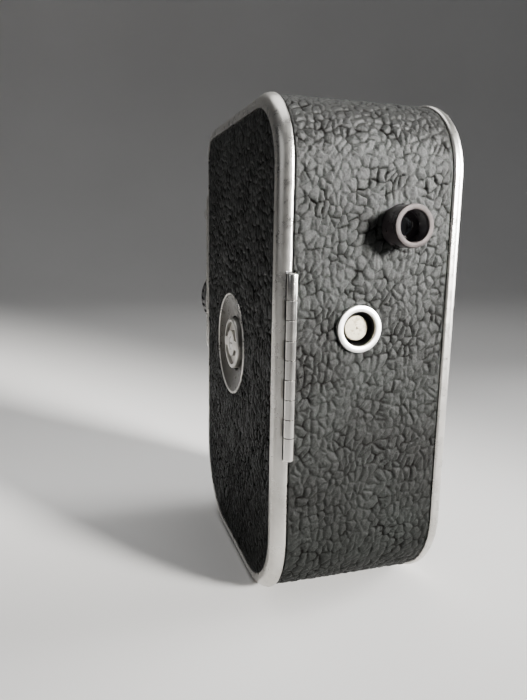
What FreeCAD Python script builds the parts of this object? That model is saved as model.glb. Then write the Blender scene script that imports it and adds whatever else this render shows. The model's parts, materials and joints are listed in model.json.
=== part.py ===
import FreeCAD, Part
import math
import os

os.makedirs("parts", exist_ok=True)

# Compact clockwork cine camera. Millimetres, +Z up, lens towards -Y, eyepiece towards +Y,
# film door on +X, winding side on -X. The origin is the mouth of the tripod socket.

Vector = FreeCAD.Vector
ALONG_X = Vector(1, 0, 0)
ALONG_Y = Vector(0, 1, 0)
ALONG_Z = Vector(0, 0, 1)

# ---- case ----------------------------------------------------------------------------------------
height = 120.0
half_depth = 36.0
half_width = 22.2
radius_back_top = 18.0
radius_back_bottom = 20.0
radius_front_top = 8.5
radius_front_bottom = 23.0
leather = 0.8
leather_below_rim = 0.35
band_wall = 1.4
band_half_width = 18.75
door_gap = 0.2
leather_gap = 0.2
face_wall = 1.2
panel_inset = 3.5
panel_gap = 0.1
rim_round = 2.8
rim_inner_round = 0.5
seat_inset = leather_below_rim + leather
inner_inset = seat_inset + band_wall
panel_seat_x = half_width - leather
face_inner_x = panel_seat_x - face_wall
side_wall_inset = 2.6
door_seat_x = band_half_width + door_gap
back_y = half_depth
band_back_y = half_depth - seat_inset
band_inner_y = half_depth - inner_inset
front_inner_y = -band_inner_y
run_gap = 0.05
free_gap = 0.3

# ---- mechanism plate, bridge and pillars ---------------------------------------------------------
plate_x0 = -1.6
plate_x1 = -0.4
bridge_x0 = -18.6
bridge_x1 = -17.6
bridge_inset = 7.0
bridge_top = 85.0
pillar_r = 2.2
pillar_spots = [(-22.0, 20.0), (-22.0, 80.0), (24.0, 20.0), (24.0, 82.0)]

# ---- gear train ----------------------------------------------------------------------------------
module = 0.7
barrel_teeth = 60
pinion_teeth = 12
reel_drive_teeth = 22
reel_teeth = 13
wheel_teeth = 42
fast_teeth = 10
barrel_spot = (4.0, 43.0)
wheel_step_y = -6.0
shaft_spot_z = 60.0
governor_step = (15.5, 9.54)
reel_step_y = 2.0
barrel_x0 = -16.5
barrel_x1 = -5.0
barrel_drum_r = 19.4
barrel_wall = 1.0
barrel_tooth_width = 1.8
arbor_r = 3.0
pivot_r = 1.0
wheel_x0 = -4.4
wheel_x1 = -3.4
pinion_extra = 0.15

# ---- viewfinder ----------------------------------------------------------------------------------
finder_x = -6.2
finder_z = 90.9
finder_tube_r = 4.3
finder_tube_wall = 0.6
eyepiece_r = 4.6
eyepiece_bore_r = 3.4
eyepiece_end_y = 41.5
eyepiece_floor_y = 37.2
eye_lens_r = 1.95

# ---- recessed plunger in the back ----------------------------------------------------------------
plunger_x = 3.0
plunger_z = 68.4
plunger_ring_r = 5.3
plunger_hole_r = 3.9
plunger_r = 2.85
plunger_face_y = 34.5
plunger_head = 2.0
cup_r = 4.8
cup_end_y = 29.0
cup_floor = 1.0
stem_r = 1.2

# ---- hinge ---------------------------------------------------------------------------------------
hinge_x = 19.27
hinge_y = 36.9
barrel_outer_r = 1.2
pin_r = 0.6
knuckle_edges = [39.5, 45.0, 49.2, 53.6, 58.0, 62.3, 66.5, 70.9, 75.2, 80.9]
knuckle_gap = 0.06
hinge_pocket_r = 1.5
leaf = 0.5

# ---- door latch ----------------------------------------------------------------------------------
latch_y = -4.4
latch_z = 59.1
latch_r = 14.0
dish_r = 13.4
dish_rim = 0.2
recess_r = 7.6
dish_floor_x0 = 19.4
dish_floor_x1 = 20.0
knob_r = 7.0
knob_x0 = 20.3
knob_x1 = 22.1
spindle_r = 2.0
cam_x0 = 18.6
cam_x1 = 19.3
cam_r = 5.0
crank_r = 3.2
crank_pin_r = 0.8
bolt_x0 = 17.7
bolt_x1 = 18.5
bolt_offset_y = 2.75
bolt_half_width = 2.15
bolt_tip_gap = 7.8

# ---- reels ---------------------------------------------------------------------------------------
spool_x0 = 0.1
spool_x1 = 16.6
spool_r = 24.5
spool_core_r = 6.5
spool_flange = 0.6
reel_spindle_r = 2.6
supply_spot = (6.0, 86.5)

# ---- lens, gate and shutter ----------------------------------------------------------------------
lens_x = 10.0
lens_z = 67.5
front_plate_y = -38.6
front_plate_z0 = 50.0
front_plate_z1 = 103.0
front_plate_x0 = -15.5
front_plate_x1 = 18.5
flange_x1 = 21.8
flange_back_y = -36.4
lens_front_y = -53.0
barrel_lens_r = 8.0
focus_r = 11.2
shutter_x = -1.5
shutter_r = 15.2
shutter_y0 = -31.6
shutter_y1 = -30.9
gate_y0 = -29.5
gate_y1 = -27.1
aperture_y1 = -26.5
pad_y0 = -26.2
pad_y1 = -25.0
frame_width = 4.5
frame_height = 3.3

# ---- winding side --------------------------------------------------------------------------------
hub_r = 8.0
hub_x0 = -24.4
key_pin_x = -25.5
key_pin_r = 0.8
key_half = 4.0
key_length = 20.0
key_thick = 1.8
dial_r = 7.0
dial_x0 = -23.8
counter_spot = (-12.0, 103.0)
counter_r = 10.5
window_r = 4.0
screw_spots = [(-24.0, 100.0), (24.0, 102.0), (22.0, 18.0), (-18.0, 16.0)]

# ---- tripod socket -------------------------------------------------------------------------------
socket_r = 2.7
socket_depth = 5.0
bush_r = 5.0
bush_top = 5.6
base_half_x = 11.0
base_half_y = 8.5


# ---- smaller sizes -------------------------------------------------------------------------------
lip_reach = 1.2
lip_wall = 0.7
knuckle_dome = 0.5
web_top_y = hinge_y - 0.7
leaf_reach = 9.0
moving_leaf_x1 = 20.9
moving_leaf_y0 = 33.9
bezel_proud = 0.1
bezel_round = 0.25
knob_round = 0.5
crescent_r_out = 5.9
crescent_r_in = 3.6
crescent_depth = 1.1
crescent_bar = 1.2
screw_recess_r = 1.9
screw_recess = 0.6
slot_spare = 0.35
bolt_root = 2.2
guide_steps = (20.0, 44.0)
guide_half = 1.5
keeper_x0 = 16.9
keeper_x1 = 19.5
spring_strip = 0.35
lid_hole_r = 15.0
spring_turns = 7
hub_x1 = -20.6
hub_stem_x = -19.4
cross_gear_r = 3.8
governor_x0 = -15.6
governor_x1 = -7.4
governor_disc_r = 5.6
shaft_slot_half = 3.5
gate_x0 = -6.5
gate_x1 = 17.0
gate_z0 = 51.5
gate_z1 = 83.5
aperture_x0 = 0.6
pad_stem_x = 6.0
arm_y0 = -20.4
arm_y1 = -19.2
claw_x = 3.2
claw_z = 61.0
claw_travel = 3.8
finder_tube_back_y = 32.4
eye_lens_y0 = 35.4
plunger_ring_y = 36.5
cover_screw_r = 1.0
cover_screw_head_r = 1.8
window_rim = 1.0
counter_pivot = (counter_spot[0], counter_spot[1] - window_r - 2.5)
release_x = 17.2
release_z = 95.4
release_stem_r = 1.0
release_button_r = 3.0
release_collar_r = release_button_r + free_gap + 0.7
release_tip_y = -50.0
release_stem_end_y = -35.6
front_screw_r = 0.9
front_screw_head_r = 1.5
front_screw_spots = [(-12.8, 53.2), (-12.8, 99.8), (-13.0, 76.0), (4.0, 100.0)]
front_corner = 4.0
flange_round = 0.5
mount_ring = 2.0
aperture_ring_y1 = front_plate_y - mount_ring - 0.3
aperture_ring_y0 = aperture_ring_y1 - 2.4
focus_y1 = aperture_ring_y0 - 0.3
focus_y0 = focus_y1 - 6.0
barrel_front_y = focus_y0 - 0.3
lens_rear_y = front_inner_y - 0.4
front_ring_r = 9.8
filter_r = 7.4
front_glass_r = 6.8
front_glass_y1 = barrel_front_y + 3.2
iris_r = 4.2
iris_y = -41.0
front_window_r = 5.2
release_collar_depth = 3.0
release_head_back_y = front_plate_y - release_collar_depth - free_gap


def box(x0, x1, y0, y1, z0, z1):
    return Part.makeBox(x1 - x0, y1 - y0, z1 - z0, Vector(x0, y0, z0))


def rod_x(spot, r, x0, x1):
    return Part.makeCylinder(r, x1 - x0, Vector(x0, spot[0], spot[1]), ALONG_X)


def rod_y(x, z, r, y0, y1):
    return Part.makeCylinder(r, y1 - y0, Vector(x, y0, z), ALONG_Y)


def rod_z(x, y, r, z0, z1):
    return Part.makeCylinder(r, z1 - z0, Vector(x, y, z0), ALONG_Z)


def ring_x(spot, r_out, r_in, x0, x1):
    return rod_x(spot, r_out, x0, x1).cut(rod_x(spot, r_in, x0, x1))


def ring_y(x, z, r_out, r_in, y0, y1):
    return rod_y(x, z, r_out, y0, y1).cut(rod_y(x, z, r_in, y0, y1))


def join(shapes):
    return shapes[0].multiFuse(shapes[1:]).removeSplitter() if len(shapes) > 1 else shapes[0]


def outline(inset, x):
    """Closed wire of the case profile in the YZ plane, moved inwards by inset."""
    back = half_depth - inset
    front = inset - half_depth
    top = height - inset
    low = inset
    r_bt = radius_back_top - inset
    r_bb = radius_back_bottom - inset
    r_ft = radius_front_top - inset
    r_fb = radius_front_bottom - inset
    edges = []

    def corner(centre_y, centre_z, r, start):
        points = []
        for turn in (0, 45, 90):
            angle = math.radians(start + turn)
            points.append(Vector(x, centre_y + r * math.cos(angle), centre_z + r * math.sin(angle)))
        return Part.Arc(points[0], points[1], points[2]).toShape()

    arcs = [
        corner(back - r_bt, top - r_bt, r_bt, 0),
        corner(front + r_ft, top - r_ft, r_ft, 90),
        corner(front + r_fb, low + r_fb, r_fb, 180),
        corner(back - r_bb, low + r_bb, r_bb, 270),
    ]
    for number, arc in enumerate(arcs):
        following = arcs[(number + 1) % len(arcs)]
        edges.append(arc)
        edges.append(Part.makeLine(arc.Vertexes[-1].Point, following.Vertexes[0].Point))
    return Part.Wire(edges)


def slab(inset, x0, x1):
    return Part.Face(outline(inset, x0)).extrude(Vector(x1 - x0, 0, 0))


def round_edges(shape, radius, plane_x):
    """Rounds every edge lying in the plane x = plane_x."""
    chosen = []
    for edge in shape.Edges:
        bounds = edge.BoundBox
        if abs(bounds.XMin - plane_x) < 1e-6 and abs(bounds.XMax - plane_x) < 1e-6:
            chosen.append(edge)
    return shape.makeFillet(radius, chosen)


def direction(spot_a, spot_b):
    return math.atan2(spot_b[1] - spot_a[1], spot_b[0] - spot_a[0])


def mesh_phase(spot_a, phase_a, teeth_a, spot_b, teeth_b):
    """Angle of a tooth of gear b that lets it stand between the teeth of gear a."""
    pitch_a = 2 * math.pi / teeth_a
    offset_a = (phase_a - direction(spot_a, spot_b)) % pitch_a
    offset_b = -(offset_a * teeth_a + math.pi) / teeth_b
    return direction(spot_b, spot_a) + offset_b


def gear(spot, teeth, phase, x0, x1, bore):
    """Spur gear with slim teeth, so that a pair runs with backlash."""
    pitch = 2 * math.pi / teeth
    pitch_r = module * teeth / 2
    tip_r = pitch_r + 0.8 * module
    root_r = pitch_r - 1.2 * module
    shape_of_tooth = [(-0.30, root_r), (-0.20, pitch_r), (-0.10, tip_r)]
    shape_of_tooth += [(-fraction, r) for fraction, r in reversed(shape_of_tooth)]
    points = []
    for tooth in range(teeth):
        for fraction, r in shape_of_tooth:
            angle = phase + (tooth + fraction) * pitch
            points.append(Vector(x0, spot[0] + r * math.cos(angle), spot[1] + r * math.sin(angle)))
    points.append(points[0])
    blank = Part.Face(Part.makePolygon(points)).extrude(Vector(x1 - x0, 0, 0))
    return blank.cut(rod_x(spot, bore, x0, x1)) if bore else blank


# ---- places worked out from the sizes above ------------------------------------------------------
gear_span = module * (barrel_teeth + pinion_teeth) / 2
wheel_spot = (
    barrel_spot[0] + wheel_step_y,
    barrel_spot[1] + math.sqrt(gear_span ** 2 - wheel_step_y ** 2),
)
fast_span = module * (wheel_teeth + fast_teeth) / 2
shaft_drop = wheel_spot[1] - shaft_spot_z
shaft_spot = (wheel_spot[0] - math.sqrt(fast_span ** 2 - shaft_drop ** 2), shaft_spot_z)
governor_turn = math.atan2(governor_step[1], governor_step[0])
governor_spot = (
    wheel_spot[0] + fast_span * math.cos(governor_turn),
    wheel_spot[1] + fast_span * math.sin(governor_turn),
)
reel_span = module * (reel_drive_teeth + reel_teeth) / 2
take_up_spot = (
    barrel_spot[0] + reel_step_y,
    barrel_spot[1] - math.sqrt(reel_span ** 2 - reel_step_y ** 2),
)
latch_spot = (latch_y, latch_z)
barrel_phase = direction(barrel_spot, wheel_spot)
wheel_pinion_phase = mesh_phase(barrel_spot, barrel_phase, barrel_teeth, wheel_spot, pinion_teeth)
reel_drive_phase = direction(barrel_spot, take_up_spot)
reel_phase = mesh_phase(
    barrel_spot, reel_drive_phase, reel_drive_teeth, take_up_spot, reel_teeth
)
wheel_phase = direction(wheel_spot, shaft_spot)
shaft_phase = mesh_phase(wheel_spot, wheel_phase, wheel_teeth, shaft_spot, fast_teeth)
governor_phase = mesh_phase(wheel_spot, wheel_phase, wheel_teeth, governor_spot, fast_teeth)
upper_bolt_y = latch_y + bolt_offset_y
lower_bolt_y = latch_y - bolt_offset_y
keeper_half = bolt_half_width + 1.2
keeper_low_z = height - bolt_tip_gap + free_gap


# ---- case ----------------------------------------------------------------------------------------
def body_band():
    band = slab(seat_inset, -band_half_width, band_half_width)
    band = band.cut(slab(inner_inset, -band_half_width, band_half_width))
    cuts = [
        rod_y(finder_x, finder_z, finder_tube_r, band_inner_y - 1, back_y + 1),
        rod_y(plunger_x, plunger_z, cup_r, band_inner_y - 1, back_y + 1),
        rod_y(lens_x, lens_z, barrel_lens_r, -half_depth, front_inner_y + 1),
        rod_y(finder_x, finder_z, finder_tube_r, -half_depth, front_inner_y + 1),
        rod_y(release_x, release_z, release_stem_r + run_gap, -half_depth, front_inner_y + 1),
        rod_z(0, 0, bush_r, 0, inner_inset + 1),
        hinge_fixed_leaf(),
    ]
    for spot in front_screw_spots:
        cuts.append(rod_y(spot[0], spot[1], front_screw_r, -half_depth, front_inner_y + 1))
    return band.cut(cuts)


def band_leather():
    half = band_half_width - leather_gap
    skin = slab(leather_below_rim, -half, half).cut(slab(seat_inset, -half, half))
    cuts = [
        rod_y(finder_x, finder_z, eyepiece_r + panel_gap, band_inner_y, back_y + 1),
        rod_y(plunger_x, plunger_z, plunger_ring_r + panel_gap, band_inner_y, back_y + 1),
        box(hinge_x - barrel_outer_r - panel_gap, half_width, band_inner_y, back_y + 1,
            knuckle_edges[0] - free_gap, knuckle_edges[-1] + free_gap),
        box(front_plate_x0 - panel_gap, front_plate_x1 + panel_gap, -half_depth - 1,
            front_inner_y, front_plate_z0 - panel_gap, front_plate_z1 + panel_gap),
        box(-base_half_x - panel_gap, base_half_x + panel_gap, -base_half_y - panel_gap,
            base_half_y + panel_gap, -1, inner_inset),
    ]
    return skin.cut(cuts)


def side_shell(seat_x):
    """Rounded metal side with a sunk panel for the leather; drawn on +X."""
    shell = slab(0, seat_x, half_width)
    shell = round_edges(shell, rim_round, half_width)
    shell = round_edges(shell, rim_inner_round, seat_x)
    shell = shell.cut(slab(panel_inset, panel_seat_x, half_width + 1))
    return shell.cut(slab(side_wall_inset, seat_x - 1, face_inner_x))


def mirrored(shape):
    return shape.mirror(Vector(0, 0, 0), ALONG_X)


def cover_holes():
    holes = [
        rod_x(barrel_spot, hub_r + free_gap, -half_width - 1, -face_inner_x + 1),
        rod_x(governor_spot, 2.0 + run_gap, -half_width - 1, -face_inner_x + 1),
        rod_x(counter_spot, window_r, -half_width - 1, -face_inner_x + 1),
    ]
    for spot in screw_spots:
        holes.append(rod_x(spot, cover_screw_r, -half_width - 1, -face_inner_x + 1))
    return holes


def mechanism_cover():
    shell = mirrored(side_shell(band_half_width)).cut(cover_holes())
    stud = rod_x(counter_pivot, 1.0, -face_inner_x, -face_inner_x + 1.4)
    return join([shell, stud])


def cover_leather():
    skin = slab(panel_inset + panel_gap, panel_seat_x, half_width - panel_gap)
    holes = [
        rod_x(barrel_spot, hub_r + free_gap, -half_width - 1, -panel_seat_x + 1),
        rod_x(governor_spot, dial_r + free_gap, -half_width - 1, -panel_seat_x + 1),
        rod_x(counter_spot, window_r + window_rim + panel_gap, -half_width - 1, -panel_seat_x + 1),
    ]
    for spot in screw_spots:
        holes.append(rod_x(spot, cover_screw_head_r + panel_gap, -half_width - 1, -panel_seat_x + 1))
    return mirrored(skin).cut(holes)


def door_shell():
    shell = side_shell(door_seat_x)
    pocket = rod_z(hinge_x, hinge_y, hinge_pocket_r, knuckle_edges[0] - free_gap,
                   knuckle_edges[-1] + free_gap)
    cuts = [pocket, rod_x(latch_spot, dish_r, door_seat_x, half_width + 1), hinge_moving_leaf()]
    return shell.cut(cuts)


def door_leather():
    skin = slab(panel_inset + panel_gap, panel_seat_x, half_width - panel_gap)
    return skin.cut(rod_x(latch_spot, latch_r + panel_gap, door_seat_x, half_width + 1))


def door_light_trap():
    """Lip on the door that reaches inside the band, open beside the two keepers."""
    outer = inner_inset + free_gap
    lip = slab(outer, door_seat_x - lip_reach, face_inner_x)
    lip = lip.cut(slab(outer + lip_wall, door_seat_x - lip_reach - 1, face_inner_x + 1))
    side = keeper_half + free_gap
    upper = box(0, face_inner_x + 1, upper_bolt_y - side, upper_bolt_y + side, height / 2, height)
    lower = box(0, face_inner_x + 1, lower_bolt_y - side, lower_bolt_y + side, 0, height / 2)
    return lip.cut([upper, lower])


# ---- hinge ---------------------------------------------------------------------------------------
def knuckle_span(number):
    return knuckle_edges[number] + knuckle_gap, knuckle_edges[number + 1] - knuckle_gap


def knuckle(number, bore):
    low, high = knuckle_span(number)
    tube = rod_z(hinge_x, hinge_y, barrel_outer_r, low, high)
    last = len(knuckle_edges) - 2
    if number == 0:
        low_edges = [edge for edge in tube.Edges if edge.BoundBox.ZMax < low + 0.1]
        tube = tube.makeFillet(knuckle_dome, low_edges)
    if number == last:
        high_edges = [edge for edge in tube.Edges if edge.BoundBox.ZMin > high - 0.1]
        tube = tube.makeFillet(knuckle_dome, high_edges)
    return tube.cut(rod_z(hinge_x, hinge_y, bore, low, high))


def hinge_fixed_leaf():
    return box(hinge_x - leaf_reach, band_half_width, band_back_y - leaf, band_back_y,
               knuckle_edges[0], knuckle_edges[-1])


def hinge_body_knuckles():
    pieces = [hinge_fixed_leaf()]
    web_x0 = hinge_x - barrel_outer_r
    web_x1 = band_half_width
    for number in range(0, len(knuckle_edges) - 1, 2):
        low, high = knuckle_span(number)
        inner = 0.8 if number in (0, len(knuckle_edges) - 2) else 0
        web = box(web_x0, web_x1, band_back_y - leaf, web_top_y, low + inner, high - inner)
        web = web.cut(rod_z(hinge_x, hinge_y, barrel_outer_r - 0.1, low, high))
        pieces.append(web)
        pieces.append(knuckle(number, pin_r))
    return join(pieces)


def hinge_moving_leaf():
    pieces = [box(door_seat_x, moving_leaf_x1, moving_leaf_y0, moving_leaf_y0 + leaf,
                  knuckle_edges[0], knuckle_edges[-1])]
    for number in range(1, len(knuckle_edges) - 1, 2):
        low, high = knuckle_span(number)
        web = box(hinge_x + 0.4, moving_leaf_x1, moving_leaf_y0, web_top_y, low, high)
        pieces.append(web.cut(rod_z(hinge_x, hinge_y, barrel_outer_r - 0.1, low, high)))
    return join(pieces)


def hinge_door_knuckles():
    pieces = [hinge_moving_leaf()]
    for number in range(1, len(knuckle_edges) - 1, 2):
        pieces.append(knuckle(number, pin_r + run_gap))
    return join(pieces)


def hinge_pin():
    return rod_z(hinge_x, hinge_y, pin_r, knuckle_edges[0] + 0.2, knuckle_edges[-1] - 0.2)


# ---- door latch ----------------------------------------------------------------------------------
def latch_bezel():
    ring = ring_x(latch_spot, latch_r, dish_r, panel_seat_x, half_width + bezel_proud)
    return round_edges(ring, bezel_round, half_width + bezel_proud)


def latch_dish():
    """Shallow bowl with a flat recess under the knob."""
    rim_x = half_width - panel_gap
    depth = rim_x - dish_floor_x1
    sphere_r = ((dish_r - dish_rim) ** 2 + depth ** 2) / (2 * depth)
    hollow = Part.makeSphere(sphere_r, Vector(dish_floor_x1 + sphere_r, latch_y, latch_z))
    recess = rod_x(latch_spot, recess_r, dish_floor_x1, rim_x)
    bore = rod_x(latch_spot, spindle_r + run_gap, dish_floor_x0 - 1, rim_x)
    return rod_x(latch_spot, dish_r, dish_floor_x0, rim_x).cut([hollow, recess, bore])


def latch_knob():
    knob = rod_x(latch_spot, knob_r, knob_x0, knob_x1)
    knob = round_edges(knob, knob_round, knob_x1)
    cuts = []
    for side in (-1, 1):
        hollow = ring_x(latch_spot, crescent_r_out, crescent_r_in, knob_x1 - crescent_depth, knob_x1 + 1)
        half = box(knob_x0, half_width + 1, latch_y - knob_r, latch_y + knob_r,
                   latch_z + (crescent_bar if side > 0 else -knob_r),
                   latch_z + (knob_r if side > 0 else -crescent_bar))
        cuts.append(hollow.common(half))
    cuts.append(rod_x(latch_spot, screw_recess_r, knob_x1 - screw_recess, knob_x1 + 1))
    cuts.append(rod_x(latch_spot, spindle_r, knob_x0 - 1, knob_x1 - screw_recess))
    return knob.cut(cuts)


def latch_screw():
    head = rod_x(latch_spot, screw_recess_r - 0.1, knob_x1 - screw_recess, knob_x1 - 0.1)
    slot = box(knob_x1 - 0.4, knob_x1, latch_y - 3, latch_y + 3, latch_z - 0.2, latch_z + 0.2)
    return head.cut(slot)


def crank_spot(turn):
    angle = math.radians(turn)
    return latch_y + crank_r * math.cos(angle), latch_z + crank_r * math.sin(angle)


def latch_cam():
    pieces = [rod_x(latch_spot, cam_r, cam_x0, cam_x1)]
    pieces.append(rod_x(latch_spot, spindle_r, cam_x1, knob_x1 - screw_recess))
    for turn in (-45, 135):
        pieces.append(rod_x(crank_spot(turn), crank_pin_r, bolt_x0, cam_x0))
    return join(pieces)


def bolt(y, tip_z, turn):
    """Flat bar with a cross slot for its crank pin."""
    pin_z = crank_spot(turn)[1]
    root_z = pin_z - math.copysign(bolt_root, tip_z - latch_z)
    low, high = min(root_z, tip_z), max(root_z, tip_z)
    bar = box(bolt_x0, bolt_x1, y - bolt_half_width, y + bolt_half_width, low, high)
    side = math.copysign(1, y - latch_y)
    slot_a = latch_y + side * (crank_r * math.cos(math.radians(45)) - crank_pin_r - slot_spare)
    slot_b = latch_y + side * (crank_r + crank_pin_r + slot_spare)
    half = crank_pin_r + slot_spare
    slot = box(bolt_x0 - 1, bolt_x1 + 1, min(slot_a, slot_b), max(slot_a, slot_b),
               pin_z - half, pin_z + half)
    return bar.cut(slot)


def latch_bolt_upper():
    return bolt(upper_bolt_y, height - bolt_tip_gap, -45)


def latch_bolt_lower():
    return bolt(lower_bolt_y, bolt_tip_gap, 135)


def bolt_keepers():
    top = height - inner_inset
    upper = keeper(upper_bolt_y, keeper_low_z, top, keeper_low_z - 1, top - 0.4)
    lower = keeper(lower_bolt_y, inner_inset, height - keeper_low_z, inner_inset + 0.4,
                   height - keeper_low_z + 1)
    outside = [
        box(band_half_width, keeper_x1, -half_depth, half_depth, top - 0.4, height),
        box(band_half_width, keeper_x1, -half_depth, half_depth, 0, inner_inset + 0.4),
    ]
    return Part.makeCompound([upper.cut(outside), lower.cut(outside)])


def bolt_guides():
    guides = []
    for y, side in ((upper_bolt_y, 1), (lower_bolt_y, -1)):
        for away in guide_steps:
            middle = latch_z + side * away
            block = box(bolt_x0 - 0.5, face_inner_x, y - bolt_half_width - 0.8,
                        y + bolt_half_width + 0.8, middle - guide_half, middle + guide_half)
            channel = box(bolt_x0 - run_gap, bolt_x1 + run_gap, y - bolt_half_width - run_gap,
                          y + bolt_half_width + run_gap, middle - guide_half - 1,
                          middle + guide_half + 1)
            guides.append(block.cut(channel))
    return Part.makeCompound(guides)


def keeper(y, low, high, opening_low, opening_high):
    block = box(keeper_x0, keeper_x1, y - keeper_half, y + keeper_half, low, high)
    pocket = box(bolt_x0 - free_gap, bolt_x1 + free_gap, y - bolt_half_width - free_gap,
                 y + bolt_half_width + free_gap, opening_low, opening_high)
    return block.cut(pocket)


# ---- mechanism plate and train -------------------------------------------------------------------
def mechanism_plate():
    plate = slab(inner_inset, plate_x0, plate_x1)
    cuts = [
        rod_z(0, 0, bush_r + free_gap, 0, bush_top + free_gap),
        box(plate_x0 - 1, plate_x1 + 1, cup_end_y - 0.8, back_y,
            plunger_z - cup_r - free_gap, plunger_z + cup_r + free_gap),
        box(plate_x0 - 1, plate_x1 + 1, -half_depth, gate_y0 + 3.1,
            lens_z - shutter_r - 1, lens_z + shutter_r + 1),
        box(plate_x0 - 1, plate_x1 + 3, -half_depth, shaft_spot[0] + 1.4,
            lens_z - shaft_slot_half, lens_z + shaft_slot_half),
        rod_x(barrel_spot, 2.0 + run_gap, plate_x0 - 1, plate_x1 + 1),
        rod_x(wheel_spot, pivot_r + run_gap, plate_x0 - 1, plate_x1 + 1),
        rod_x(shaft_spot, pivot_r + run_gap, plate_x0 - 1, plate_x1 + 1),
        rod_x(governor_spot, pivot_r + run_gap, plate_x0 - 1, plate_x1 + 1),
        rod_x(take_up_spot, 1.5 + run_gap, plate_x0 - 1, plate_x1 + 1),
        rod_x(supply_spot, 1.5 + run_gap, plate_x0 - 1, plate_x1 + 1),
    ]
    arm = box(plate_x1, pad_stem_x + 2.5, arm_y0, arm_y1, lens_z - 2.5, lens_z + 2.5)
    arm = arm.cut(rod_y(pad_stem_x, lens_z, pivot_r + run_gap, arm_y0 - 1, arm_y1 + 1))
    foot = box(plate_x0, plate_x1 + 1.0, arm_y0, arm_y1 + 8.0, lens_z - 5.5, lens_z + 5.5)
    return join([plate, foot, arm]).cut(cuts)


def train_bridge():
    plate = slab(bridge_inset, bridge_x0, bridge_x1)
    cuts = [
        box(bridge_x0 - 1, bridge_x1 + 1, -half_depth, half_depth, bridge_top, height),
        rod_x(barrel_spot, arbor_r + run_gap, bridge_x0 - 1, bridge_x1 + 1),
    ]
    for spot in (wheel_spot, shaft_spot, governor_spot):
        cuts.append(rod_x(spot, pivot_r + run_gap, bridge_x0 - 1, bridge_x1 + 1))
    pillars = [rod_x(spot, pillar_r, bridge_x0 - 0.4, plate_x0) for spot in pillar_spots]
    return join([plate.cut(cuts)] + pillars)


def spring_barrel():
    drum = ring_x(barrel_spot, barrel_drum_r, barrel_drum_r - barrel_wall, barrel_x0 + barrel_wall, barrel_x1)
    rim = gear(barrel_spot, barrel_teeth, barrel_phase, barrel_x1 - barrel_tooth_width, barrel_x1,
               barrel_drum_r - barrel_wall)
    floor = rod_x(barrel_spot, barrel_drum_r, barrel_x1 - barrel_wall, barrel_x1)
    boss = gear(barrel_spot, reel_drive_teeth, reel_drive_phase, barrel_x1, wheel_x1, 0)
    bore = rod_x(barrel_spot, arbor_r + run_gap, barrel_x0 - 1, plate_x0)
    lid = rod_x(barrel_spot, barrel_drum_r, barrel_x0, barrel_x0 + barrel_wall)
    lid = lid.cut(rod_x(barrel_spot, lid_hole_r, barrel_x0 - 1, barrel_x0 + 2))
    return join([drum, rim, floor, boss, lid]).cut(bore)


def mainspring():
    """Coiled strip, hooked to the drum wall, standing clear of the arbor."""
    inner_r = arbor_r + 1.5
    outer_r = barrel_drum_r - barrel_wall - spring_strip
    steps_per_turn = 36
    steps = spring_turns * steps_per_turn
    near, far = [], []
    for step in range(steps + 1):
        angle = 2 * math.pi * step / steps_per_turn
        r = inner_r + (outer_r - inner_r) * step / steps
        for line, radius in ((near, r), (far, r + spring_strip)):
            line.append(Vector(barrel_x0 + barrel_wall + 0.4, barrel_spot[0] + radius * math.cos(angle),
                               barrel_spot[1] + radius * math.sin(angle)))
    loop = near + far[::-1] + [near[0]]
    width = barrel_x1 - barrel_x0 - 2 * barrel_wall - 0.8
    return Part.Face(Part.makePolygon(loop)).extrude(Vector(width, 0, 0))


def barrel_arbor():
    body = rod_x(barrel_spot, arbor_r, hub_stem_x, plate_x0 - free_gap)
    tail = rod_x(barrel_spot, 2.0, plate_x0 - free_gap, plate_x1)
    return join([body, tail])


def train_wheel():
    pinion = gear(wheel_spot, pinion_teeth, wheel_pinion_phase,
                  barrel_x1 - barrel_tooth_width - pinion_extra, wheel_x0, 0)
    wheel = gear(wheel_spot, wheel_teeth, wheel_phase, wheel_x0, wheel_x1, 0)
    holes = []
    for spoke in range(5):
        angle = 2 * math.pi * spoke / 5
        spot = (wheel_spot[0] + 9.0 * math.cos(angle), wheel_spot[1] + 9.0 * math.sin(angle))
        holes.append(rod_x(spot, 3.2, wheel_x0 - 1, wheel_x1 + 1))
    shaft = rod_x(wheel_spot, pivot_r, bridge_x0, plate_x1)
    return join([pinion, wheel.cut(holes), shaft])


def drive_shaft():
    pinion = gear(shaft_spot, fast_teeth, shaft_phase, wheel_x0 - pinion_extra, wheel_x1 + pinion_extra, 0)
    worm_wheel = rod_x(shaft_spot, cross_gear_r, wheel_x1 + pinion_extra, plate_x0 - 0.2)
    shaft = rod_x(shaft_spot, pivot_r, bridge_x0, plate_x1)
    return join([pinion, worm_wheel, shaft])


def governor_shaft():
    """Fast shaft with three weights on leaf arms between a collar and the friction disc."""
    pinion = gear(governor_spot, fast_teeth, governor_phase, wheel_x0 - pinion_extra,
                  wheel_x1 + pinion_extra, 0)
    shaft = rod_x(governor_spot, pivot_r, bridge_x0, plate_x1)
    collar = rod_x(governor_spot, 2.4, governor_x0, governor_x0 + 1.6)
    disc = rod_x(governor_spot, governor_disc_r, governor_x1 - 1.0, governor_x1)
    pieces = [pinion, shaft, collar, disc]
    for number in range(3):
        arm = box(governor_x0 + 1.6, governor_x1 - 1.0, governor_spot[0] - 1.0, governor_spot[0] + 1.0,
                  governor_spot[1] + pivot_r - 0.1, governor_spot[1] + pivot_r + 0.5)
        weight = box(governor_x0 + 2.8, governor_x1 - 2.2, governor_spot[0] - 1.5, governor_spot[0] + 1.5,
                     governor_spot[1] + pivot_r + 0.5, governor_spot[1] + pivot_r + 2.6)
        piece = join([arm, weight])
        piece.rotate(Vector(0, governor_spot[0], governor_spot[1]), ALONG_X, 120.0 * number)
        pieces.append(piece)
    return join(pieces)


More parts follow.
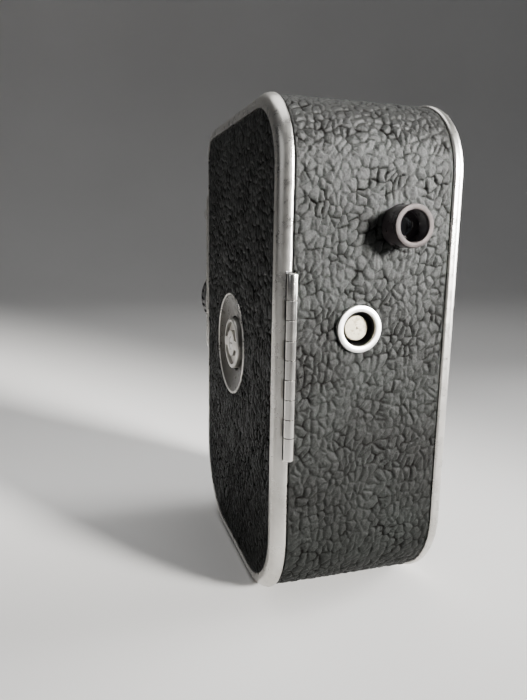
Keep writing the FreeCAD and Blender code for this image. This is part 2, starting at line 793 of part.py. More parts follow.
# ---- reels ---------------------------------------------------------------------------------------
def spool(spot):
    core = rod_x(spot, spool_core_r, spool_x0, spool_x1)
    flanges = []
    for x in (spool_x0, spool_x1 - spool_flange):
        flange = rod_x(spot, spool_r, x, x + spool_flange)
        holes = []
        for number in range(3):
            angle = 2 * math.pi * (number + 0.5) / 3
            hole_spot = (spot[0] + 15.5 * math.cos(angle), spot[1] + 15.5 * math.sin(angle))
            holes.append(rod_x(hole_spot, 5.5, x - 1, x + spool_flange + 1))
        flanges.append(flange.cut(holes))
    return join([core] + flanges).cut(rod_x(spot, reel_spindle_r, spool_x0 - 1, spool_x1 + 1))


def reel_spindle(spot, tail_x):
    post = rod_x(spot, reel_spindle_r, plate_x1 + 0.2, spool_x1 + 0.5)
    post = round_edges(post, 0.6, spool_x1 + 0.5)
    tail = rod_x(spot, 1.5, tail_x, plate_x1 + 0.2)
    return post, tail


def supply_spindle():
    post, tail = reel_spindle(supply_spot, plate_x0 - 0.1)
    cap = rod_x(supply_spot, 1.9, plate_x0 - 0.9, plate_x0 - 0.1)
    return join([post, tail, cap])


def take_up_spindle():
    post, tail = reel_spindle(take_up_spot, wheel_x0)
    drive = gear(take_up_spot, reel_teeth, reel_phase, wheel_x0, wheel_x1, 0)
    return join([post, tail, drive])


# ---- gate and shutter ----------------------------------------------------------------------------
def gate_block():
    block = box(gate_x0, gate_x1, gate_y0, gate_y1, gate_z0, gate_z1)
    foot = box(plate_x1, plate_x1 + 2.0, gate_y1, gate_y1 + 6.0, gate_z1 - 4.0, gate_z1)
    foot_low = box(plate_x1, plate_x1 + 2.0, gate_y1, gate_y1 + 6.0, gate_z0, gate_z0 + 4.0)
    cuts = [
        rod_y(lens_x, lens_z, 4.0, gate_y0 - 1, gate_y1),
        rod_y(shutter_x, lens_z, pivot_r + run_gap, gate_y0 - 1, gate_y1 + 1),
        box(claw_x - 0.9, claw_x + 0.9, gate_y0 - 1, gate_y1 + 1, claw_z - 1.2, claw_z + claw_travel + 2.4),
    ]
    film_rail = box(aperture_x0, gate_x1 - 0.6, gate_y1, aperture_y1, gate_z0 + 6, gate_z1 - 6)
    rail_cuts = [
        box(lens_x - frame_width / 2, lens_x + frame_width / 2, gate_y1 - 1, aperture_y1 + 1,
            lens_z - frame_height / 2, lens_z + frame_height / 2),
        box(claw_x - 0.9, claw_x + 0.9, gate_y1 - 1, aperture_y1 + 1, claw_z - 1.2,
            claw_z + claw_travel + 2.4),
    ]
    return join([join([block, foot, foot_low]).cut(cuts), film_rail.cut(rail_cuts)])


def pressure_plate():
    pad = box(aperture_x0 + 0.4, gate_x1 - 1.0, pad_y0, pad_y1, lens_z - 9, lens_z + 9)
    pad = pad.cut(box(claw_x - 0.9, claw_x + 0.9, pad_y0 - 1, pad_y0 + 0.7, claw_z - 1.2,
                      claw_z + claw_travel + 2.4))
    stem = rod_y(pad_stem_x, lens_z, pivot_r, pad_y1, arm_y1 + 1.5)
    return join([pad, stem])


def film_claw():
    plate = box(claw_x - 1.5, claw_x + 1.5, gate_y0 - 0.9, gate_y0 - 0.2, claw_z - 3, claw_z + 5)
    tooth = box(claw_x - 0.4, claw_x + 0.4, gate_y0 - 0.2, pad_y0 + 0.3, claw_z, claw_z + 1.2)
    return join([plate, tooth])


def shutter():
    disc = rod_y(shutter_x, lens_z, shutter_r, shutter_y0, shutter_y1)
    wedge_points = [Vector(shutter_x, shutter_y0 - 1, lens_z)]
    for turn in (100, 150, 200, 250):
        angle = math.radians(turn)
        wedge_points.append(Vector(shutter_x + 3 * shutter_r * math.cos(angle), shutter_y0 - 1,
                                   lens_z + 3 * shutter_r * math.sin(angle)))
    wedge_points.append(wedge_points[0])
    wedge = Part.Face(Part.makePolygon(wedge_points)).extrude(Vector(0, 3, 0))
    wedge = wedge.cut(rod_y(shutter_x, lens_z, 4.0, shutter_y0 - 2, shutter_y1 + 2))
    shaft = rod_y(shutter_x, lens_z, pivot_r, shutter_y0 - 0.6, shaft_spot[0] + 0.9)
    worm = rod_y(shutter_x, lens_z, 3.1, shaft_spot[0] - 3.2, shaft_spot[0] + 0.7)
    return join([disc.cut(wedge), shaft, worm])


# ---- front ---------------------------------------------------------------------------------------
def rounded_block(x1, y0, y1):
    """Block with the front plate's outline and corners, out to x1."""
    block = box(front_plate_x0, x1, y0, y1, front_plate_z0, front_plate_z1)
    corners = [edge for edge in block.Edges if edge.BoundBox.YLength > (y1 - y0) / 2]
    return block.makeFillet(front_corner, corners)


def front_plate():
    """Plate let into the hide, with a flange that covers the door's front edge."""
    flange = rounded_block(flange_x1, front_plate_y, flange_back_y)
    face_edges = [edge for edge in flange.Edges if abs(edge.BoundBox.YMax - front_plate_y) < 1e-6]
    flange = flange.makeFillet(flange_round, face_edges)
    seat = rounded_block(front_plate_x1, flange_back_y, -band_back_y)
    collar = ring_y(release_x, release_z, release_collar_r, release_button_r + free_gap,
                    front_plate_y - release_collar_depth, front_plate_y)
    plate = join([flange, seat, collar])
    cuts = [
        rod_y(lens_x, lens_z, barrel_lens_r, front_plate_y - 1, 0),
        rod_y(finder_x, finder_z, front_window_r + 0.4, front_plate_y - 1, 0),
        rod_y(release_x, release_z, release_stem_r + run_gap, front_plate_y - 1, 0),
    ]
    for spot in front_screw_spots:
        cuts.append(rod_y(spot[0], spot[1], front_screw_r, front_plate_y - 1, 0))
    return plate.cut(cuts)


def front_screws():
    screws = []
    for x, z in front_screw_spots:
        shank = rod_y(x, z, front_screw_r, front_plate_y, front_inner_y)
        head = rod_y(x, z, front_screw_head_r, front_plate_y - 0.7, front_plate_y)
        slot = box(x - 3, x + 3, front_plate_y - 1, front_plate_y - 0.35, z - 0.2, z + 0.2)
        screws.append(join([shank, head]).cut(slot))
    return Part.makeCompound(screws)


def release_button():
    head = rod_y(release_x, release_z, release_button_r, release_tip_y, release_head_back_y)
    rims = [edge for edge in head.Edges if abs(edge.BoundBox.YMax - release_tip_y) < 1e-6]
    head = head.makeFillet(0.9, rims)
    stem = rod_y(release_x, release_z, release_stem_r, release_head_back_y, release_stem_end_y)
    return join([head, stem])


def lens_mount_ring():
    return ring_y(lens_x, lens_z, focus_r + 0.4, barrel_lens_r, front_plate_y - mount_ring, front_plate_y)


def lens_barrel():
    tube = rod_y(lens_x, lens_z, barrel_lens_r, barrel_front_y, lens_rear_y)
    cuts = [
        rod_y(lens_x, lens_z, iris_r, barrel_front_y - 1, lens_rear_y + 1),
        rod_y(lens_x, lens_z, front_glass_r, barrel_front_y - 1, front_glass_y1),
    ]
    return tube.cut(cuts)


def aperture_ring():
    ring = ring_y(lens_x, lens_z, focus_r - 1.6, barrel_lens_r + run_gap, aperture_ring_y0, aperture_ring_y1)
    notches = []
    for number in range(36):
        angle = 2 * math.pi * number / 36
        notches.append(rod_y(lens_x + (focus_r - 1.35) * math.cos(angle),
                             lens_z + (focus_r - 1.35) * math.sin(angle), 0.5,
                             aperture_ring_y0 - 1, aperture_ring_y1 + 1))
    return ring.cut(notches)


def focus_ring():
    ring = ring_y(lens_x, lens_z, focus_r, barrel_lens_r + run_gap, focus_y0, focus_y1)
    flutes = []
    for number in range(30):
        angle = 2 * math.pi * number / 30
        flutes.append(rod_y(lens_x + (focus_r + 0.2) * math.cos(angle),
                            lens_z + (focus_r + 0.2) * math.sin(angle), 0.65,
                            focus_y0 + 0.8, focus_y1 - 0.8))
    return ring.cut(flutes)


def lens_front_ring():
    outer = rod_y(lens_x, lens_z, front_ring_r, lens_front_y, barrel_front_y)
    outer = outer.makeFillet(0.6, [edge for edge in outer.Edges
                                   if abs(edge.BoundBox.YMax - lens_front_y) < 1e-6])
    return outer.cut([
        rod_y(lens_x, lens_z, filter_r, lens_front_y - 1, barrel_front_y + 1),
    ])


def glass(x, z, r, y_front, y_back, bulge):
    """Lens with a domed front: a rod cut by a large sphere."""
    sphere_r = (r ** 2 + bulge ** 2) / (2 * bulge)
    ball = Part.makeSphere(sphere_r, Vector(x, y_front + sphere_r, z))
    return rod_y(x, z, r, y_front, y_back).common(ball)


def lens_front_glass():
    return glass(lens_x, lens_z, front_glass_r, barrel_front_y + 0.3, front_glass_y1, 1.2)


def iris():
    plate = rod_y(lens_x, lens_z, iris_r, iris_y, iris_y + 0.6)
    hexagon = []
    for number in range(7):
        angle = 2 * math.pi * number / 6
        hexagon.append(Vector(lens_x + 2.2 * math.cos(angle), iris_y - 1, lens_z + 2.2 * math.sin(angle)))
    return plate.cut(Part.Face(Part.makePolygon(hexagon)).extrude(Vector(0, 3, 0)))


# ---- viewfinder ----------------------------------------------------------------------------------
def finder_tube():
    return ring_y(finder_x, finder_z, finder_tube_r, finder_tube_r - finder_tube_wall,
                  -band_back_y, finder_tube_back_y)


def finder_bezel():
    collar = ring_y(finder_x, finder_z, front_window_r + 1.6, front_window_r, front_plate_y - 1.4,
                    front_plate_y)
    spigot = ring_y(finder_x, finder_z, front_window_r + 0.4, front_window_r, front_plate_y, -band_back_y)
    lip = ring_y(finder_x, finder_z, front_window_r, front_window_r - 0.7, -band_back_y - 0.8, -band_back_y)
    return join([collar, spigot, lip])


def finder_front_glass():
    pane = rod_y(finder_x, finder_z, front_window_r, front_plate_y - 0.6, -band_back_y - 0.8)
    dip = Part.makeSphere(14.0, Vector(finder_x, front_plate_y - 0.6 - 13.2, finder_z))
    return pane.cut(dip)


def eyepiece():
    tube = rod_y(finder_x, finder_z, eyepiece_r, band_back_y, eyepiece_end_y)
    tube = tube.makeFillet(0.3, [edge for edge in tube.Edges
                                 if abs(edge.BoundBox.YMin - eyepiece_end_y) < 1e-6])
    spigot = rod_y(finder_x, finder_z, finder_tube_r, finder_tube_back_y, band_back_y)
    cuts = [
        rod_y(finder_x, finder_z, eyepiece_bore_r, eyepiece_floor_y, eyepiece_end_y + 1),
        rod_y(finder_x, finder_z, eye_lens_r, finder_tube_back_y - 1, eyepiece_floor_y + 1),
        rod_y(finder_x, finder_z, 3.2, finder_tube_back_y - 1, eye_lens_y0),
    ]
    return join([tube, spigot]).cut(cuts)


def eyepiece_glass():
    return rod_y(finder_x, finder_z, eye_lens_r, eye_lens_y0, eyepiece_floor_y - 0.5)


# ---- back plunger --------------------------------------------------------------------------------
def plunger_ring():
    ring = rod_y(plunger_x, plunger_z, plunger_ring_r, band_back_y, plunger_ring_y)
    ring = ring.makeFillet(0.25, [edge for edge in ring.Edges
                                  if abs(edge.BoundBox.YMin - plunger_ring_y) < 1e-6])
    cup = rod_y(plunger_x, plunger_z, cup_r, cup_end_y, band_back_y)
    cuts = [
        rod_y(plunger_x, plunger_z, plunger_hole_r, cup_end_y + cup_floor, back_y + 2),
        rod_y(plunger_x, plunger_z, stem_r + run_gap, cup_end_y - 1, back_y),
    ]
    return join([ring, cup]).cut(cuts)


def plunger():
    head = rod_y(plunger_x, plunger_z, plunger_r, plunger_face_y - plunger_head, plunger_face_y)
    head = head.makeFillet(0.25, [edge for edge in head.Edges
                                  if abs(edge.BoundBox.YMin - plunger_face_y) < 1e-6])
    stem = rod_y(plunger_x, plunger_z, stem_r, cup_end_y - 0.7, plunger_face_y - plunger_head)
    dot = rod_y(plunger_x, plunger_z, 0.35, plunger_face_y - 0.25, plunger_face_y + 1)
    return join([head, stem]).cut(dot)


# ---- winding side --------------------------------------------------------------------------------
def winding_hub():
    disc = rod_x(barrel_spot, hub_r, hub_x0, hub_x1)
    disc = round_edges(disc, 0.5, hub_x0)
    stem = rod_x(barrel_spot, 5.0, hub_x1, hub_stem_x)
    lugs = []
    for side in (-1, 1):
        near = barrel_spot[1] + side * (key_half + 0.25)
        far = barrel_spot[1] + side * (key_half + 2.2)
        lug = box(key_pin_x - 1.2, hub_x0, barrel_spot[0] - 2.0, barrel_spot[0] + 2.0,
                  min(near, far), max(near, far))
        bore = rod_z(key_pin_x, barrel_spot[0], key_pin_r + run_gap, min(near, far) - 1, max(near, far) + 1)
        lugs.append(lug.cut(bore))
    return join([disc, stem] + lugs)


def key_handle():
    half_thick = key_thick / 2
    eye = rod_z(key_pin_x, barrel_spot[0], half_thick, barrel_spot[1] - key_half, barrel_spot[1] + key_half)
    bow = box(key_pin_x - half_thick, key_pin_x + half_thick, barrel_spot[0], barrel_spot[0] + key_length,
              barrel_spot[1] - key_half, barrel_spot[1] + key_half)
    far_edges = [edge for edge in bow.Edges if edge.BoundBox.YMin > barrel_spot[0] + key_length - 0.01
                 and edge.BoundBox.XLength > 1.0]
    bow = bow.makeFillet(3.4, far_edges)
    window_spot = (barrel_spot[0] + key_length - 5.2, barrel_spot[1])
    window = rod_x(window_spot, 2.0, key_pin_x - 2, key_pin_x + 2)
    reach = key_half + 2.2
    pin = rod_z(key_pin_x, barrel_spot[0], key_pin_r, barrel_spot[1] - reach, barrel_spot[1] + reach)
    return join([join([eye, bow]).cut(window), pin])


def speed_dial():
    dial = rod_x(governor_spot, dial_r, dial_x0, -half_width)
    flutes = []
    for number in range(24):
        angle = 2 * math.pi * number / 24
        flutes.append(rod_x((governor_spot[0] + (dial_r + 0.1) * math.cos(angle),
                             governor_spot[1] + (dial_r + 0.1) * math.sin(angle)), 0.45,
                            dial_x0 - 1, -half_width + 1))
    stem = rod_x(governor_spot, 2.0, -half_width, -face_inner_x + 0.4)
    index = box(dial_x0 - 1, dial_x0 + 0.25, governor_spot[0] - 0.25, governor_spot[0] + 0.25,
                governor_spot[1] + 1.5, governor_spot[1] + dial_r + 1)
    return join([dial, stem]).cut(flutes + [index])


def counter_window():
    pane = rod_x(counter_spot, window_r, -half_width + 0.1, -face_inner_x)
    return pane


def window_bezel():
    return ring_x(counter_spot, window_r + window_rim, window_r, -half_width - 0.1, -panel_seat_x)


def counter_dial():
    disc = rod_x(counter_pivot, counter_r, -face_inner_x + 0.4, -face_inner_x + 1.0)
    return disc.cut(rod_x(counter_pivot, 1.0 + run_gap, -half_width, 0))


def cover_screws():
    screws = []
    for spot in screw_spots:
        head = rod_x(spot, cover_screw_head_r, -half_width - 0.1, -panel_seat_x)
        shank = rod_x(spot, cover_screw_r, -panel_seat_x, -face_inner_x)
        slot = box(-half_width - 1, -half_width + 0.3, spot[0] - 3, spot[0] + 3, spot[1] - 0.2, spot[1] + 0.2)
        screws.append(join([head, shank]).cut(slot))
    return Part.makeCompound(screws)


# ---- base ----------------------------------------------------------------------------------------
def base_plate():
    plate = box(-base_half_x, base_half_x, -base_half_y, base_half_y, 0, seat_inset)
    corners = [edge for edge in plate.Edges if edge.BoundBox.ZLength > 0.5]
    plate = plate.makeFillet(3.0, corners)
    bush = rod_z(0, 0, bush_r, 0, bush_top)
    return join([plate, bush]).cut(rod_z(0, 0, socket_r, -1, socket_depth))


nodes = {
    "body_band": body_band,
    "band_leather": band_leather,
    "mechanism_cover": mechanism_cover,
    "cover_leather": cover_leather,
    "cover_screws": cover_screws,
    "door_shell": door_shell,
    "door_leather": door_leather,
    "door_light_trap": door_light_trap,
    "hinge_body_knuckles": hinge_body_knuckles,
    "hinge_door_knuckles": hinge_door_knuckles,
    "hinge_pin": hinge_pin,
    "latch_bezel": latch_bezel,
    "latch_dish": latch_dish,
    "latch_knob": latch_knob,
    "latch_screw": latch_screw,
    "latch_cam": latch_cam,
    "latch_bolt_upper": latch_bolt_upper,
    "latch_bolt_lower": latch_bolt_lower,
    "bolt_guides": bolt_guides,
    "bolt_keepers": bolt_keepers,
    "mechanism_plate": mechanism_plate,
    "train_bridge": train_bridge,
    "spring_barrel": spring_barrel,
    "mainspring": mainspring,
    "barrel_arbor": barrel_arbor,
    "train_wheel": train_wheel,
    "drive_shaft": drive_shaft,
    "governor_shaft": governor_shaft,
    "take_up_spool": lambda: spool(take_up_spot),
    "supply_spindle": supply_spindle,
    "take_up_spindle": take_up_spindle,
    "gate_block": gate_block,
    "pressure_plate": pressure_plate,
    "film_claw": film_claw,
    "shutter": shutter,
    "front_plate": front_plate,
    "front_screws": front_screws,
    "release_button": release_button,
    "lens_mount_ring": lens_mount_ring,
    "lens_barrel": lens_barrel,
    "aperture_ring": aperture_ring,
    "focus_ring": focus_ring,
    "lens_front_ring": lens_front_ring,
    "lens_front_glass": lens_front_glass,
    "iris": iris,
    "finder_tube": finder_tube,
    "finder_bezel": finder_bezel,
    "finder_front_glass": finder_front_glass,
    "eyepiece": eyepiece,
    "eyepiece_glass": eyepiece_glass,
    "plunger_ring": plunger_ring,
    "plunger": plunger,
    "winding_hub": winding_hub,
    "key_handle": key_handle,
    "speed_dial": speed_dial,
    "counter_window": counter_window,
    "window_bezel": window_bezel,
    "counter_dial": counter_dial,
    "base_plate": base_plate,
}

for name, make in nodes.items():
    make().exportStep("parts/" + name + ".step")
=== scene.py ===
import json
import math

import bmesh
import bpy
import numpy as np
from mathutils import Matrix, Vector


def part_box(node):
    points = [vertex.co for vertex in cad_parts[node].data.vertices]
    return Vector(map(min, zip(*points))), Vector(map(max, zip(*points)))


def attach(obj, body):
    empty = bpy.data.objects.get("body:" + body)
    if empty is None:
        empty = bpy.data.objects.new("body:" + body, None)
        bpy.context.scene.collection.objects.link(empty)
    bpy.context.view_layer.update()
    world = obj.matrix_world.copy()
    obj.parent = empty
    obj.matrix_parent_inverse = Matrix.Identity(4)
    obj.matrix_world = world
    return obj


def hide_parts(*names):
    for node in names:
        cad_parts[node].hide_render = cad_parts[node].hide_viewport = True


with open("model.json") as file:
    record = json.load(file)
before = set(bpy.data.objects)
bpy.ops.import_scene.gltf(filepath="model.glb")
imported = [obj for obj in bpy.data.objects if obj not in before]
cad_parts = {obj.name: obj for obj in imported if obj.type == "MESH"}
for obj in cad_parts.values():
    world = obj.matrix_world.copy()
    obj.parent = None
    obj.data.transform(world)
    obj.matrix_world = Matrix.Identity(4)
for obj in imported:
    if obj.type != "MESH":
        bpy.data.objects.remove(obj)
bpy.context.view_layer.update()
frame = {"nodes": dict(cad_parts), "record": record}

MM = 0.001
NODES = frame["nodes"]

# ---- case sizes that the frame's boxes don't give, in millimetres -------------------------------
RADII = {"back_top": 18.0, "front_top": 8.5, "front_bottom": 23.0, "back_bottom": 20.0}
LEATHER_BELOW_RIM = 0.35
PANEL_INSET = 3.6
METAL_UNDER_HIDE_Y = 34.9
GRAIN_STEP = 0.24
HIDE_LIFT = 0.03
SKIRT = 0.55
BAND_SEED, DOOR_SEED, COVER_SEED = 11, 23, 37
PRESSED_EDGE = 0.6
HINGE_X = 19.27
HINGE_Y = 36.9
HINGE_GROOVE_R = 1.5
KNUCKLE_EDGES = [39.5, 45.0, 49.2, 53.6, 58.0, 62.3, 66.5, 70.9, 75.2, 80.9]
KNUCKLE_GAP = 0.05
RIM_ROUND = 2.8
RIM_CENTRE_X = 19.4
LATCH_HOLE_R = 14.05
HUB_HOLE_R = 8.3
DIAL_HOLE_R = 7.3
WINDOW_HOLE_R = 5.05
SCREW_HOLE_R = 1.85
SCREW_SPOTS = [(-24.0, 100.0), (24.0, 102.0), (22.0, 18.0), (-18.0, 16.0)]
HINGE_CUT_CORNER = 0.3
FRONT_PLATE_CORNER = 4.0
BASE_PLATE_CORNER = 3.0


def box_mm(node):
    """A CAD node's two box corners at rest, in millimetres."""
    low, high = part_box(node)
    return np.array(low) / MM, np.array(high) / MM


def centre_mm(node):
    low, high = box_mm(node)
    return (low + high) / 2


_, HALF_DEPTH, HEIGHT = box_mm("door_shell")[1]


# ---- materials ----------------------------------------------------------------------------------
def new_material(name):
    """A fresh material, its node tree and its Principled shader."""
    material = bpy.data.materials.new(name)
    material.use_nodes = True
    return material, material.node_tree, material.node_tree.nodes["Principled BSDF"]


def node(tree, kind, **settings):
    """Adds a shader node and sets its properties."""
    made = tree.nodes.new(kind)
    for key, value in settings.items():
        setattr(made, key, value)
    return made


def coordinates(tree, stretch=(1, 1, 1)):
    """Object coordinates in millimetres, optionally stretched for brushed finishes."""
    source = node(tree, "ShaderNodeTexCoord")
    mapping = node(tree, "ShaderNodeMapping")
    mapping.inputs["Scale"].default_value = [value / MM for value in stretch]
    tree.links.new(source.outputs["Object"], mapping.inputs["Vector"])
    return mapping.outputs["Vector"]


def noise(tree, vector, scale, detail=4.0, rough=0.6):
    made = node(tree, "ShaderNodeTexNoise")
    made.inputs["Scale"].default_value = scale
    made.inputs["Detail"].default_value = detail
    made.inputs["Roughness"].default_value = rough
    tree.links.new(vector, made.inputs["Vector"])
    return made.outputs["Fac"]


def ramp(tree, value, stops):
    """Colour ramp over (position, colour or grey) stops."""
    made = node(tree, "ShaderNodeValToRGB")
    elements = made.color_ramp.elements
    while len(elements) < len(stops):
        elements.new(0.5)
    for element, (position, colour) in zip(elements, stops):
        element.position = position
        if np.isscalar(colour):
            colour = (colour, colour, colour)
        element.color = (*colour, 1)
    tree.links.new(value, made.inputs["Fac"])
    return made.outputs["Color"]


def mix(tree, factor, a, b, kind="MIX"):
    made = node(tree, "ShaderNodeMix", data_type="RGBA", blend_type=kind)
    for socket, value in (("Factor", factor), ("A", a), ("B", b)):
        target = [s for s in made.inputs if s.name == socket and s.enabled][0]
        if isinstance(value, bpy.types.NodeSocket):
            tree.links.new(value, target)
        elif socket == "Factor":
            target.default_value = value
        else:
            target.default_value = (*value, 1)
    return [s for s in made.outputs if s.enabled][0]


def bump(tree, shader, height, strength, distance, below=None):
    """Bump of a distance in millimetres, on top of another bump where one is given."""
    made = node(tree, "ShaderNodeBump")
    made.inputs["Strength"].default_value = strength
    made.inputs["Distance"].default_value = distance * MM
    tree.links.new(height, made.inputs["Height"])
    if below is not None:
        tree.links.new(below, made.inputs["Normal"])
    tree.links.new(made.outputs["Normal"], shader.inputs["Normal"])
    return made.outputs["Normal"]


def metal(name, colour, rough, stretch=(1, 1, 1), grain=0.08, scuff=0.5, wear=None, worn_from=0.62):
    """Metal with fine directional grain, cloudy handling marks and optional worn spots."""
    material, tree, shader = new_material(name)
    shader.inputs["Metallic"].default_value = 1.0
    base = coordinates(tree)
    brushed = coordinates(tree, stretch)
    cloud = noise(tree, base, 0.09, 5.0, 0.65)
    fine = noise(tree, brushed, 5.0, 6.0, 0.7)
    dull = tuple(value * 0.80 for value in colour)
    tint = ramp(tree, cloud, [(0.30, dull), (0.62, colour)])
    if wear:
        spots = ramp(tree, noise(tree, base, 0.55, 8.0, 0.75),
                     [(worn_from, 0.0), (worn_from + 0.08, 1.0)])
        tint = mix(tree, spots, tint, wear)
    tree.links.new(tint, shader.inputs["Base Color"])
    marks = ramp(tree, noise(tree, base, 0.35, 8.0, 0.72),
                 [(0.35, rough), (0.72, min(1.0, rough * (1 + scuff)))])
    tree.links.new(marks, shader.inputs["Roughness"])
    bump(tree, shader, fine, grain, 0.02)
    return material


def enamel(name, colour, rough, grain=0.1, chip=None):
    """Paint, anodising or oxide: dielectric coat with slight orange peel."""
    material, tree, shader = new_material(name)
    shader.inputs["Specular IOR Level"].default_value = 0.5
    base = coordinates(tree)
    cloud = noise(tree, base, 0.25, 5.0, 0.6)
    light = tuple(min(1.0, value * 1.5 + 0.004) for value in colour)
    tint = ramp(tree, cloud, [(0.35, colour), (0.7, light)])
    if chip:
        spots = ramp(tree, noise(tree, base, 0.9, 9.0, 0.8), [(0.66, 0.0), (0.70, 1.0)])
        tint = mix(tree, spots, tint, chip)
    tree.links.new(tint, shader.inputs["Base Color"])
    tree.links.new(ramp(tree, cloud, [(0.3, rough * 0.85), (0.7, min(1.0, rough * 1.2))]),
                   shader.inputs["Roughness"])
    bump(tree, shader, noise(tree, base, 3.5, 4.0, 0.6), grain, 0.03)
    return material


def painted_shade_by_height(tree):
    """Painted shade: less shine towards the foot, set to match how the case darkens there as the light
    falls off.
    """
    source = node(tree, "ShaderNodeTexCoord")
    split = node(tree, "ShaderNodeSeparateXYZ")
    share = node(tree, "ShaderNodeMath", operation="DIVIDE")
    share.inputs[1].default_value = HEIGHT * MM
    tree.links.new(source.outputs["Object"], split.inputs["Vector"])
    tree.links.new(split.outputs["Z"], share.inputs[0])
    return ramp(tree, share.outputs["Value"], [(0.05, 0.18), (0.45, 0.48), (0.85, 1.0)])


def leather_material(name):
    """Black hide: glossy worn pebble tops, matt brown-black creases, fine pores. The creases are
    darkened partly by the hide's own tone and partly by painted shade; the shine fades towards the foot
    as painted shade.
    """
    material, tree, shader = new_material(name)
    base = coordinates(tree)
    relief_with_crease_shade = node(tree, "ShaderNodeAttribute", attribute_name="relief_with_crease_shade").outputs["Fac"]
    cloud = noise(tree, base, 0.05, 4.0, 0.6)
    top = ramp(tree, cloud, [(0.32, (0.0080, 0.0080, 0.0075)), (0.68, (0.0130, 0.0140, 0.0130))])
    speck = ramp(tree, noise(tree, base, 2.4, 7.0, 0.8), [(0.36, 0.4), (0.62, 1.7)])
    top = mix(tree, 1.0, top, speck, "MULTIPLY")
    # Darker creases in colour: partly the hide's own brown-black, partly painted shade.
    depth = ramp(tree, relief_with_crease_shade, [(0.10, 0.0), (0.55, 1.0)])
    tint = mix(tree, depth, (0.0022, 0.0017, 0.0016), top)
    tree.links.new(tint, shader.inputs["Base Color"])
    pores = noise(tree, base, 1.7, 8.0, 0.75)
    gloss = mix(tree, depth, (0.95, 0.95, 0.95), ramp(tree, pores, [(0.3, 0.27), (0.7, 0.44)]))
    tree.links.new(gloss, shader.inputs["Roughness"])
    # The shine drops in the creases, partly painted shade, and fades towards the foot as painted shade.
    shine_with_painted_shade = ramp(tree, relief_with_crease_shade, [(0.20, 0.01), (0.75, 0.185)])
    shine_with_painted_shade = mix(tree, 1.0, shine_with_painted_shade, painted_shade_by_height(tree), "MULTIPLY")
    tree.links.new(shine_with_painted_shade, shader.inputs["Specular IOR Level"])
    lumps = bump(tree, shader, pores, 1.0, 0.20)
    bump(tree, shader, noise(tree, base, 5.0, 5.0, 0.7), 0.5, 0.06, lumps)
    return material


def glass_material(name):
    """Coated optical glass with faint smears."""
    material, tree, shader = new_material(name)
    shader.inputs["Transmission Weight"].default_value = 1.0
    shader.inputs["IOR"].default_value = 1.52
    shader.inputs["Coat Weight"].default_value = 0.6
    smear = noise(tree, coordinates(tree), 0.4, 5.0, 0.6)
    tree.links.new(ramp(tree, smear, [(0.3, (0.80, 0.86, 0.98)), (0.7, (0.90, 0.92, 1.0))]),
                   shader.inputs["Base Color"])
    tree.links.new(ramp(tree, smear, [(0.4, 0.01), (0.8, 0.06)]), shader.inputs["Roughness"])
    return material


MATERIALS = {
    "case_leather": leather_material("hide_band"),
    "side_leather": leather_material("hide_sides"),
    "satin_alloy": metal("satin_alloy", (0.64, 0.62, 0.58), 0.24, (1, 1, 0.15), 0.12, 0.6,
                         wear=(0.55, 0.50, 0.43)),
    "case_metal": enamel("case_black", (0.012, 0.012, 0.012), 0.65),
    "bright_nickel": metal("bright_nickel", (0.80, 0.775, 0.735), 0.13, (1, 1, 0.4), 0.05, 0.9),
    "satin_steel": metal("satin_steel", (0.66, 0.64, 0.60), 0.30, (1, 0.2, 1), 0.10, 0.6),
    "polished_steel": metal("polished_steel", (0.74, 0.73, 0.71), 0.18, (1, 1, 1), 0.06, 0.6),
    "brass_works": metal("brass_works", (0.80, 0.60, 0.28), 0.28, (0.2, 1, 1), 0.10, 0.6),
    "blue_steel": metal("blue_steel", (0.10, 0.14, 0.26), 0.30, (1, 0.2, 0.2), 0.08, 0.5),
    # Painted shade: the latch's bowl is near-black metal, darkened to stand in for the shade that falls
    # in the recess.
    "dark_dish": metal("dark_dish", (0.050, 0.045, 0.036), 0.24, (1, 1, 1), 0.10, 0.8),
    "black_oxide": enamel("black_oxide", (0.018, 0.017, 0.017), 0.42),
    "ivory_disc": metal("ivory_disc", (0.40, 0.365, 0.28), 0.46, (1, 1, 1), 0.5, 0.8,
                        wear=(0.20, 0.175, 0.125), worn_from=0.50),
    "black_enamel": enamel("black_enamel", (0.024, 0.020, 0.021), 0.28, 0.08,
                           chip=(0.10, 0.085, 0.075)),
    "glass": glass_material("optical_glass"),
    "worn_bronze": metal("worn_bronze", (0.042, 0.037, 0.036), 0.50, (1, 1, 1), 0.08, 0.5),
    "ring_nickel": metal("ring_nickel", (0.93, 0.92, 0.89), 0.36, (1, 1, 1), 0.05, 0.3),
    "dial_white": enamel("dial_white", (0.78, 0.77, 0.72), 0.55),
}
node_slots = {entry["node"]: entry["material_slot"] for entry in frame["record"]["subparts"]}
OTHER_LOOKS = {"focus_ring": "black_oxide"}
for name, cad_object in NODES.items():
    cad_object.data.materials.clear()
    cad_object.data.materials.append(MATERIALS[OTHER_LOOKS.get(name, node_slots[name])])


# ---- mesh helpers -------------------------------------------------------------------------------
def add_mesh(name, vertices, faces, slot, body, replaced=(), smooth_angle=35.0, look=None):
    """Makes a visible piece from vertices in millimetres and lets it ride a body."""
    mesh = bpy.data.meshes.new(name)
    mesh.from_pydata([tuple(v) for v in np.asarray(vertices) * MM], [], faces)
    made = bpy.data.objects.new(name, mesh)
    bpy.context.scene.collection.objects.link(made)
    mesh.materials.append(MATERIALS[look or slot])
    mesh.shade_smooth()
    if smooth_angle is not None:
        mesh.set_sharp_from_angle(angle=math.radians(smooth_angle))
    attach(made, body)
    if replaced:
        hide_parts(*replaced)
    return made


